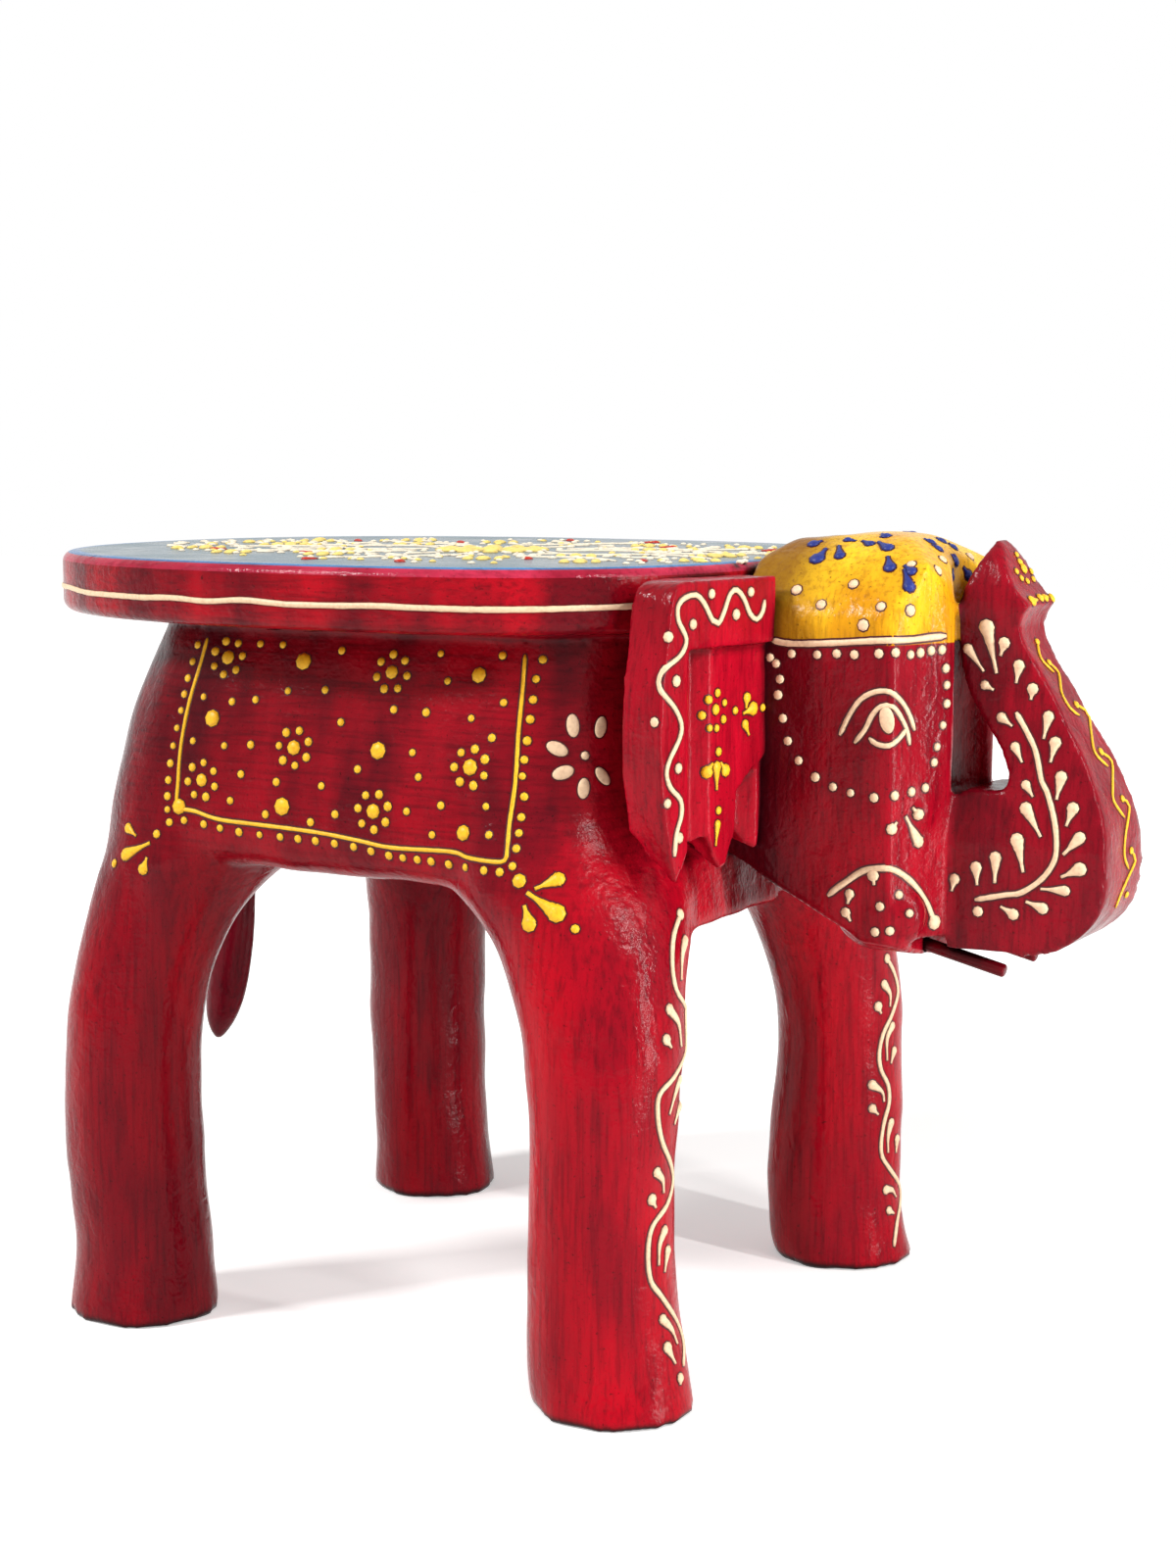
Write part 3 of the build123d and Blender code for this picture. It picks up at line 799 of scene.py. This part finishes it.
def pipe_bead(relief, touches, widths):
    """A bead of paint along a skin: low oval rings across the line, bridged and closed."""
    last = len(touches) - 1
    before = None
    for step, (place, normal) in enumerate(touches):
        ahead = touches[min(step + 1, last)][0] - touches[max(step - 1, 0)][0]
        side = normal.cross(ahead).normalized()
        along = side.cross(normal).normalized()
        width = widths[step] * hand.uniform(*bead_spread)
        turn = Matrix((side, normal, along)).transposed().to_4x4()
        size = Matrix.Diagonal((width / 2, bead_height + bead_swell * width, 1, 1))
        ring = bmesh.ops.create_circle(
            relief, segments=bead_sides, radius=1, cap_ends=step in (0, last),
            matrix=Matrix.Translation(place) @ turn @ size,
        )["verts"]
        edges = list({edge for vertex in ring for edge in vertex.link_edges})
        if before:
            bmesh.ops.bridge_loops(relief, edges=before + edges)
        before = edges


def pipe_line(relief, skin, spots, width):
    """A line of piped paint through points of the frame, with rounded ends."""
    touches = sighted(skin, flow(spots, line_gap))
    widths = [width] * len(touches)
    widths[0] = widths[-1] = width * bead_end
    pipe_bead(relief, touches, widths)


def drop(relief, skin, spots, width):
    """A dab with a tail drawn out of it, from its head to its tail through any bend given."""
    touches = sighted(skin, flow(spots, drop_gap))
    dab(relief, touches[0], width)
    last = max(1, len(touches) - 1)
    left = [1 - step / last for step in range(last + 1)]
    tail_widths = [width * max(tail_least, tail_start * share ** tail_taper) for share in left]
    pipe_bead(relief, touches, tail_widths)


def dots(relief, skin, spots, width):
    """Dabs of one width at points of the frame."""
    for touch in sighted(skin, spots):
        dab(relief, touch, width)


def drops(relief, skin, rows):
    """Drops from rows of head, tail and width in millimetres."""
    for head_spot, tail_spot, width in rows:
        drop(relief, skin, [head_spot, tail_spot], width / 1000)


def petal(relief, skin, spots, width):
    """A dab drawn out to an oval between two points of the frame."""
    (start, normal), (end, _) = sighted(skin, spots)
    along = end - start
    side = normal.cross(along).normalized()
    turn = Matrix((along.normalized(), side, normal)).transposed().to_4x4()
    size = Matrix.Diagonal(((along.length + width) / 2, width / 2, bead_swell * width, 1))
    bmesh.ops.create_uvsphere(
        relief, u_segments=bead_sides * 2, v_segments=petal_rings, radius=1,
        matrix=Matrix.Translation((start + end) / 2) @ turn @ size,
    )


def flower(relief, skin, touch, petals, reach, petal_width, core_width):
    """A dab with a ring of smaller ones round it."""
    dab(relief, touch, core_width)
    place, normal = touch
    across = normal.cross(petal_zero).normalized()
    upward = normal.cross(across)
    start = hand.uniform(0, pi)
    for number in range(petals):
        angle = start + 2 * pi * number / petals
        spot = place + (across * cos(angle) + upward * sin(angle)) * reach
        found, facing, _, _ = skin.find_nearest(spot)
        dab(relief, (found, facing), petal_width)


def relief_paint(name, colour, shade):
    """Thick poster paint: soft-gloss, faintly mottled, with dark brown where it meets the surface,
    partly wash and partly painted shade.
    """
    paint, node, shader, place = new_finish(name)
    mottle = node("TexNoise", {"Vector": place, "Scale": 1 / mottle_width, "Detail": 3.0})
    share = node("MapRange", {
        "Value": mottle, "From Min": 0.45, "From Max": 0.75, "To Max": 0.5,
    })
    mottled = node("Mix", {"data_type": "RGBA", 0: share, 6: linear(colour), 7: linear(shade)})
    # Partly brown wash, partly painted shade: darker where ambient occlusion finds the paint hemmed in.
    foot_shade = node("AmbientOcclusion", {"samples": 8, "Distance": foot_shade_reach}).outputs["AO"]
    depth = node("MapRange", {
        "Value": foot_shade, "From Min": 0.4, "From Max": 0.8, "To Min": 0.85, "To Max": 0.0,
    })
    washed = node("Mix", {"data_type": "RGBA", 0: depth, 6: mottled, 7: linear(wash_and_shade_brown)})
    relief = node("Bump", {"Strength": 0.25, "Distance": 0.0003, "Height": mottle})
    set_node(shader, {
        "Base Color": washed, "Normal": relief, "Roughness": 0.42, "Specular IOR Level": 0.3,
    })
    return paint


def wash_and_shadow_ring(relief, skin):
    """A dark ring round thick paint, partly wash and partly painted shadow: its outline, grown a
    little, laid on the skin.
    """
    bmesh.ops.recalc_face_normals(relief, faces=relief.faces)
    wash = relief.copy()
    wash.normal_update()
    for vertex in wash.verts:
        place, normal, _, _ = skin.find_nearest(vertex.co + vertex.normal * wash_shadow_width)
        vertex.co = place + normal * wash_shadow_height
    wash.normal_update()
    under = [
        face for face in wash.faces
        if face.normal.dot(skin.find_nearest(face.calc_center_median())[1]) < wash_shadow_lean
    ]
    bmesh.ops.delete(wash, geom=under, context="FACES")
    return wash


def add_both_sides(name, relief, material, skin):
    """A relief with its dark ring of wash and painted shadow on the elephant's right, and their mirror
    image on the left.
    """
    wash = wash_and_shadow_ring(relief, skin)
    for part, shape, finish in ((f"{name}_wash", wash, wash_and_shadow_film), (name, relief, material)):
        add_piece(f"{part}_left", other_side(shape), finish, "red_paint")
        add_piece(f"{part}_right", shape, finish, "red_paint")


# The dark ring round thick paint: partly wash, partly painted shadow.
wash_shadow_width = 0.0005
wash_shadow_height = 0.00006
wash_shadow_lean = 0.3
mottle_width = 0.0012
# Reach of the dark at the base of thick paint, partly wash and partly painted shade.
foot_shade_reach = 0.0015
yellow_relief = relief_paint("yellow_relief_paint", "F6BC22", "C4850E")
pale_relief = relief_paint("pale_yellow_relief_paint", "F4DA7C", "D8A838")
ivory_relief = relief_paint("ivory_relief_paint", "F4E8D0", "CDBBA0")
cream_relief = relief_paint("cream_relief_paint", "F0CDA8", "C49A78")
blue_relief = relief_paint("navy_relief_paint", "22307E", "141A44")
red_relief = relief_paint("vermilion_relief_paint", "C4301C", "7C160C")
# Painted shadow, partly wash: the dark film round thick paint.
wash_and_shadow_film = relief_paint("brown_wash_and_shadow_film", "4A0812", wash_and_shade_brown)

blanket = bmesh.new()
pipe_line(blanket, body_skin, blanket_line, line_width)
dots(blanket, body_skin, [blanket_corner], core_dot)
dots(blanket, body_skin, flow(blanket_dots, dot_gap), small_dot)
dots(blanket, body_skin, blanket_small_dots, small_dot)
dots(blanket, body_skin, blanket_big_dots, big_dot)
for touch in sighted(body_skin, blanket_flowers):
    flower(blanket, body_skin, touch, flower_petals, flower_reach, petal_dot, core_dot)
dots(blanket, body_skin, corner_dots, petal_dot)
drops(blanket, body_skin, corner_drops)
add_both_sides("piped_blanket", blanket, yellow_relief, body_skin)

# Shoulder and legs: cream relief paint. Loose petals on the shoulder, and a climbing vine
# with paired leaves down the front of each front leg, drawn by hand, so the two differ.
vine_width = 0.0019
leaf_width = 0.0038
shoulder_petals = [
    # two ends, width in millimetres
    ((584, 735), (585, 746), 4.3), ((564, 762), (573, 766), 4.5),
    ((570, 790), (579, 787), 4.5), ((595, 809), (596, 800), 4.1),
    ((614, 737), (612, 747), 4.1), ((618, 796), (612, 788), 3.8),
]
shoulder_core = (597, 771)
near_vine = [
    (694, 933), (687, 957), (686, 987), (690, 1010), (699, 1027), (701, 1047), (698, 1077),
    (687, 1100), (673, 1117), (671, 1137), (675, 1163), (684, 1187), (686, 1207), (680, 1230),
    (665, 1253), (661, 1280), (664, 1307), (675, 1323), (690, 1347), (697, 1370), (697, 1394),
]
near_leaves = [
    ((699, 959), (696, 975), (695, 1000)), ((703, 981), (701, 1003)),
    ((683, 1030), (692, 1044), (695, 1068)), ((680, 1061), (685, 1069)),
    ((693, 1102), (689, 1115), (683, 1137)), ((693, 1129), (688, 1147)),
    ((670, 1196), (676, 1204), (677, 1217)), ((665, 1224), (669, 1232)),
    ((678, 1255), (673, 1270), (672, 1291)), ((681, 1276), (678, 1298)),
    ((676, 1346), (685, 1356), (691, 1371)), ((681, 1375), (689, 1391)),
    ((694, 1406), (694, 1413)),
]
far_vine = [
    (905, 978), (912, 992), (916, 1012), (910, 1035), (901, 1055), (897, 1075), (899, 1092),
    (906, 1107), (907, 1125), (902, 1145), (899, 1165), (900, 1180), (908, 1193), (917, 1208),
    (918, 1228), (915, 1248), (912, 1272),
]
far_leaves = [
    ((902, 1004), (908, 1014), (908, 1027)), ((896, 1027), (899, 1034)),
    ((910, 1047), (905, 1060), (905, 1082)), ((912, 1072), (909, 1085)),
    ((890, 1107), (900, 1114), (902, 1124)), ((890, 1131), (896, 1137)),
    ((909, 1145), (906, 1160), (906, 1176)), ((915, 1162), (914, 1176)),
    ((904, 1214), (910, 1214), (914, 1221)), ((907, 1235), (912, 1238)),
]

shoulder = bmesh.new()
for head_spot, tail_spot, width in shoulder_petals:
    petal(shoulder, body_skin, [head_spot, tail_spot], width / 1000)
dots(shoulder, body_skin, [shoulder_core], petal_dot)
add_both_sides("piped_shoulder_petals", shoulder, cream_relief, body_skin)

for side, skin, vine, leaves in (
    ("right", body_skin, near_vine, near_leaves),
    ("left", far_skin, far_vine, far_leaves),
):
    relief = bmesh.new()
    pipe_line(relief, skin, vine, vine_width)
    dots(relief, skin, vine[:1], leaf_width)
    for leaf in leaves:
        drop(relief, skin, leaf, leaf_width)
    # Dark ring of wash and painted shadow round the vine.
    add_piece(f"piped_leg_vine_shadow_wash_{side}", wash_and_shadow_ring(relief, skin), wash_and_shadow_film, "red_paint")
    add_piece(f"piped_leg_vine_{side}", relief, cream_relief, "red_paint")

# Ear ornament: a wandering cream line on the raised band with dots in its bends, and yellow
# flowers in the sunk field with a drop hanging onto the middle lappet.
ear_wave = [
    (780, 612), (778, 624), (772, 632), (765, 626), (759, 611), (752, 602), (745, 606),
    (738, 626), (733, 636), (727, 633), (718, 615), (710, 607), (699, 610), (692, 618),
    (692, 633), (700, 652), (694, 669), (676, 685), (673, 702), (688, 722), (695, 739),
    (693, 754), (683, 776), (680, 790), (684, 804), (694, 816), (695, 832), (690, 851),
    (688, 874),
]
ear_wave_dots = [
    (726, 606), (766, 604), (751, 627), (707, 637), (682, 650), (690, 695), (668, 737),
    (692, 784), (681, 820), (693, 855),
]
ear_flower_petals = [(732, 707), (723, 714), (716, 730), (724, 743), (731, 743), (738, 734), (739, 717)]
ear_flower_core = (730, 724)
ear_trefoil_dots = [(750, 725), (778, 722), (733, 767), (733, 827)]
ear_drops = [
    ((762, 712), (761, 723), 3.6), ((768, 723), (758, 728), 4.8),
    ((760, 739), (764, 750), 3.6), ((721, 788), (727, 779), 4.6),
    ((731, 783), (731, 806), 4.1), ((740, 786), (735, 778), 4.3),
    ((732, 841), (730, 863), 3.1),
]

wave = bmesh.new()
pipe_line(wave, ear_skin, ear_wave, vine_width)
dots(wave, ear_skin, ear_wave_dots, wave_dot)
add_both_sides("piped_ear_wave", wave, cream_relief, ear_skin)

ear_flowers = bmesh.new()
dots(ear_flowers, ear_skin, [ear_flower_core], small_core)
dots(ear_flowers, ear_skin, ear_flower_petals + ear_trefoil_dots, small_dot)
drops(ear_flowers, ear_skin, ear_drops)
add_both_sides("piped_ear_flowers", ear_flowers, yellow_relief, ear_skin)

# Face: a cream line under the cap, dots that frame the side of the face, an eye drawn with
# two lids and a pear-shaped pupil, and an arch of drops and dots on the cheek.
cap_edge = [
    (787, 653), (800, 656), (817, 657), (853, 656), (893, 654), (927, 653), (953, 650), (965, 649),
]
brow_dots = [
    (808, 667), (834, 668), (854, 667), (872, 668), (897, 667), (914, 666), (929, 668),
    (939, 666), (950, 664), (961, 663),
]
face_dots = [
    (786, 671), (792, 677), (796, 693), (794, 709), (799, 733), (804, 756), (815, 776),
    (832, 793), (850, 803), (868, 809), (892, 814), (913, 812), (930, 808), (944, 804),
    (965, 682), (966, 699), (966, 718), (962, 740), (956, 762), (953, 778),
]
upper_lid = [
    (857, 750), (866, 731), (878, 714), (893, 706), (908, 706), (920, 716), (928, 730), (933, 745),
]
inner_lid = [
    (872, 758), (883, 744), (890, 730), (899, 721), (911, 721), (921, 735), (926, 748), (928, 760),
]
lower_lid = [(887, 753), (894, 759), (907, 761), (918, 753), (925, 743)]
pupil = [(904, 728), (906, 741)]
pupil_width = 0.0052
lid_width = vine_width * 0.95
arch_width = vine_width * 1.15
cheek_arch = [
    (845, 914), (853, 907), (863, 900), (880, 889), (897, 886), (913, 888), (930, 900),
    (943, 917), (950, 932), (953, 940),
]
cheek_dots = [(898, 925), (917, 913), (928, 932), (893, 951), (908, 950)]
face_drops = [
    ((953, 941), (949, 930), 5.7), ((891, 893), (892, 903), 4.1),
    ((867, 912), (865, 922), 3.7), ((863, 931), (868, 940), 3.4),
    ((937, 831), (931, 824), 4.4), ((910, 846), (915, 839), 3.9),
    ((937, 859), (924, 833), 4.8),
]

face_relief = bmesh.new()
for line in (cap_edge, cheek_arch):
    pipe_line(face_relief, face_skin, line, arch_width)
for line in (upper_lid, inner_lid, lower_lid):
    pipe_line(face_relief, face_skin, line, lid_width)
petal(face_relief, face_skin, pupil, pupil_width)
dots(face_relief, face_skin, brow_dots + face_dots + cheek_dots, petal_dot)
drops(face_relief, face_skin, face_drops)
add_both_sides("piped_face", face_relief, cream_relief, face_skin)

# Cap: sprays of navy drops over the dome and cream dots round its foot.
cap_dots = [
    (813, 602), (838, 617), (871, 596), (899, 619), (929, 623), (881, 638), (930, 576),
    (957, 582), (962, 571),
]
cap_drops = [
    ((830, 555), (839, 552), 4), ((834, 570), (843, 560), 5.3),
    ((857, 567), (856, 557), 4), ((865, 551), (873, 552), 3.3),
    ((888, 555), (880, 552), 3.7), ((906, 559), (896, 553), 4.6),
    ((904, 547), (900, 545), 3.7), ((908, 579), (906, 568), 4.4),
    ((928, 599), (923, 581), 4.4), ((930, 583), (923, 577), 3.5),
    ((950, 553), (943, 550), 3.5), ((975, 573), (971, 566), 3.7),
    ((988, 587), (983, 579), 3.5), ((958, 560), (951, 556), 3.3),
]

cap_spots = bmesh.new()
dots(cap_spots, face_skin, cap_dots, wave_dot)
add_both_sides("piped_cap_dots", cap_spots, cream_relief, face_skin)
cap_sprays = bmesh.new()
drops(cap_sprays, face_skin, cap_drops)
add_both_sides("piped_cap_drops", cap_sprays, blue_relief, face_skin)

# Trunk: a cream stem with paired leaves on each side, a yellow running vine down the front
# and a small yellow flower and lip on the tip.
trunk_stem = [
    (1037, 727), (1048, 747), (1057, 767), (1063, 797), (1068, 807), (1075, 833), (1078, 857),
    (1076, 878), (1063, 897), (1042, 911), (1027, 913), (995, 918),
]
trunk_leaves = [
    # head, tail, width in millimetres
    ((1007, 640), (1017, 687), 5.3), ((1025, 656), (1021, 669), 4.2),
    ((988, 662), (1004, 685), 3.8), ((1040, 679), (1037, 697), 4.2),
    ((1005, 699), (1014, 704), 3.6), ((1054, 703), (1052, 714), 4.2),
    ((1022, 732), (1033, 741), 4), ((1070, 731), (1065, 754), 4),
    ((1077, 758), (1072, 778), 4), ((1036, 762), (1043, 778), 3.8),
    ((1083, 793), (1078, 816), 4.4), ((1095, 825), (1088, 843), 4.2),
    ((1102, 855), (1085, 872), 4.7), ((1102, 887), (1083, 895), 4.7),
    ((1087, 909), (1062, 907), 4), ((1064, 927), (1047, 920), 4.4),
    ((1034, 933), (1021, 925), 4), ((998, 930), (995, 927), 3.8),
    ((1047, 801), (1054, 813), 3.6), ((1047, 825), (1062, 854), 4.4),
    ((1038, 857), (1044, 890), 5.1), ((1016, 875), (1015, 901), 4.7),
    ((996, 885), (997, 903), 4.2), ((974, 897), (971, 909), 3.8),
]
front_vine = [
    [(1058, 655), (1062, 672), (1075, 686)],
    [(1070, 676), (1080, 687), (1083, 707), (1092, 723), (1101, 730)],
    [(1098, 719), (1110, 728), (1113, 747), (1117, 768), (1130, 782)],
    [(1123, 767), (1134, 777), (1135, 800), (1136, 817), (1147, 834)],
    [(1145, 815), (1152, 823), (1148, 853), (1147, 873), (1151, 886)],
    [(1154, 868), (1158, 878), (1150, 897), (1143, 913), (1138, 926)],
]
front_bud = (1149, 913)
front_width = line_width * 0.85
tip_dot = small_dot * 0.9
tip_flower_dots = [
    (1037, 566), (1040, 573), (1047, 571), (1052, 583), (1054, 591), (1048, 593), (1042, 590),
    (1037, 583),
]
tip_flower_core = (1044, 580)
lip_drops = [
    ((1053, 613), (1058, 612), 4.4), ((1061, 610), (1064, 609), 3.7),
    ((1066, 610), (1069, 609), 3.5), ((1073, 610), (1075, 609), 3.5),
]

stem = bmesh.new()
pipe_line(stem, face_skin, trunk_stem, vine_width)
drops(stem, face_skin, trunk_leaves)
add_both_sides("piped_trunk_leaves", stem, cream_relief, face_skin)

front = bmesh.new()
for run in front_vine:
    pipe_line(front, face_skin, run, front_width)
    dots(front, face_skin, run[:1], small_dot)
dots(front, face_skin, [front_bud], small_dot)
dots(front, face_skin, [tip_flower_core], small_core)
dots(front, face_skin, tip_flower_dots, tip_dot)
drops(front, face_skin, lip_drops)
# Dark ring of wash and painted shadow round the trunk's front vine.
add_piece("piped_trunk_front_shadow_wash", wash_and_shadow_ring(front, face_skin), wash_and_shadow_film, "red_paint")
add_piece("piped_trunk_front", front, yellow_relief, "red_paint")

# Seat ornament: a cream line round the edge that ends in a hook at each ear, and on top a
# yellow lotus with curling cream vines, small flowers and vermilion leaves.
stripe_height = 0.2672
stripe_wander = 0.0013
stripe_width = 0.0021
stripe_wave = 0.022
stripe_end = 0.075
stripe_hook = Vector((-0.001, 0, 0.004))
stripe_look = 0.01
stripe_steps = 150
lotus_middle = (-0.040, 0)
lotus_petals = 12
lotus_reaches = (18, 12, 6)
bud_reaches = (20, 26)
vine_runs = [
    # one quarter of the pattern: points ahead of and beside the lotus, in millimetres
    [(26, 4), (38, 14), (52, 16), (64, 8), (78, 6), (92, 14), (104, 24)],
    [(22, 18), (30, 32), (44, 40), (58, 36), (70, 42), (82, 52)],
    [(6, 26), (10, 42), (2, 56), (8, 70), (20, 78)],
    [(38, 14), (34, 24), (40, 32)],
    [(64, 8), (66, 22), (76, 28), (84, 24)],
]
small_flowers = [(52, 27), (96, 4), (34, 60), (74, 62), (106, 36)]
leaf_sprays = [
    (30, 12), (45, 17), (58, 13), (71, 6), (85, 10), (27, 25), (37, 37), (51, 39), (64, 39),
    (76, 47), (8, 34), (6, 50), (5, 63), (14, 75), (70, 25), (36, 28), (98, 19), (18, 48),
    (62, 52), (88, 30),
]
red_leaves = [(44, 50), (90, 44), (16, 88)]
back_sprays = [(112, 8), (118, 20), (126, 4), (116, 34), (132, 16), (124, 30), (138, 6)]
back_flowers = [(122, 12), (112, 46)]
leaf_long = 5
leaf_turns = (0.2, 1.4)
leaf_taper = (0.9, 0.6, 0.2)
petal_taper = (1, 0.7, 0.3)
spray_reach = (4, 2)
lotus_core = core_dot * 1.6
lotus_tip = core_dot * 1.25
seat_petal = petal_dot * 1.2
seat_flower_petals = 6
up = Vector((0, 0, 1))
loose_dots = 260
loose_reach = (134, 96)
loose_least = 0.2
loose_crowding = 0.6
yellow_every = 3


def on_seat(points, ahead, beside):
    """Touches on the seat's top, from millimetres ahead of and beside the lotus."""
    return [
        (Vector((
            lotus_middle[0] + ahead * point[0] / 1000,
            lotus_middle[1] + beside * point[1] / 1000,
            seat_high.z,
        )), up)
        for point in points
    ]


stripe = bmesh.new()
touches = []
for step in range(stripe_steps + 1):
    angle = pi * step / stripe_steps
    place = seat_reach(angle, paint_room)
    if place.x < stripe_end:
        beyond = seat_reach(angle + stripe_look, paint_room)
        outward = (place - beyond).cross(up).normalized()
        place.z = stripe_height + noise.noise(place / stripe_wave) * stripe_wander
        touches.append((place, -outward if outward.y < 0 else outward))
touches.insert(0, (touches[0][0] - stripe_hook, touches[0][1]))
pipe_bead(stripe, touches, [stripe_width] * len(touches))
bmesh.ops.recalc_face_normals(stripe, faces=stripe.faces)
add_piece("piped_seat_stripe_right", other_side(stripe), cream_relief, "seat_paint")
add_piece("piped_seat_stripe_left", stripe, cream_relief, "seat_paint")

seat_yellow = bmesh.new()
seat_cream = bmesh.new()
seat_vermilion = bmesh.new()
dab(seat_yellow, on_seat([(0, 0)], 1, 1)[0], lotus_core)
for number in range(lotus_petals):
    angle = 2 * pi * number / lotus_petals
    touches = on_seat([(cos(angle) * r, sin(angle) * r) for r in lotus_reaches], 1, 1)
    dab(seat_yellow, touches[0], lotus_tip)
    pipe_bead(seat_yellow, touches, [core_dot * share for share in petal_taper])
    angle += pi / lotus_petals
    for reach in bud_reaches:
        dab(seat_cream, on_seat([(cos(angle) * reach, sin(angle) * reach)], 1, 1)[0], small_dot)
for ahead in (1, -1):
    for beside in (1, -1):
        for run in vine_runs:
            touches = on_seat(flow(run, drop_gap), ahead, beside)
            pipe_bead(seat_cream, touches, [line_width] * len(touches))
        for spot in small_flowers:
            middle = on_seat([spot], ahead, beside)[0]
            dab(seat_yellow, middle, core_dot)
            for number in range(seat_flower_petals):
                angle = 2 * pi * number / seat_flower_petals
                place = middle[0] + Vector((cos(angle), sin(angle), 0)) * flower_reach
                dab(seat_yellow, (place, up), seat_petal)
        for relief, spots in ((seat_cream, leaf_sprays), (seat_vermilion, red_leaves)):
            for spot in spots:
                angle = hand.uniform(*leaf_turns)
                tip = (spot[0] + leaf_long * cos(angle), spot[1] + leaf_long * sin(angle))
                middle = ((tip[0] + spot[0]) / 2, (tip[1] + spot[1]) / 2)
                touches = on_seat([tip, middle, spot], ahead, beside)
                dab(relief, touches[0], leaf_width)
                pipe_bead(relief, touches, [leaf_width * share for share in leaf_taper])
for beside in (1, -1):
    for spot in back_sprays:
        tip = (spot[0] + spray_reach[0], spot[1] + spray_reach[1])
        middle = ((tip[0] + spot[0]) / 2, (tip[1] + spot[1]) / 2)
        touches = on_seat([tip, middle, spot], -1, beside)
        pipe_bead(seat_cream, touches, [leaf_width * share for share in petal_taper])
    for spot in back_flowers:
        dab(seat_yellow, on_seat([spot], -1, beside)[0], core_dot)
for step in range(loose_dots):
    angle = hand.uniform(0, 2 * pi)
    reach = hand.uniform(loose_least, 1) ** loose_crowding
    spot = (loose_reach[0] * reach * cos(angle), loose_reach[1] * reach * sin(angle))
    relief = seat_cream if step % yellow_every else seat_yellow
    dab(relief, on_seat([spot], 1, 1)[0], small_dot)
for name, relief, finish in (
    ("piped_seat_flowers", seat_yellow, pale_relief),
    ("piped_seat_vines", seat_cream, ivory_relief),
    ("piped_seat_leaves", seat_vermilion, red_relief),
):
    bmesh.ops.recalc_face_normals(relief, faces=relief.faces)
    add_piece(name, relief, finish, "seat_paint")
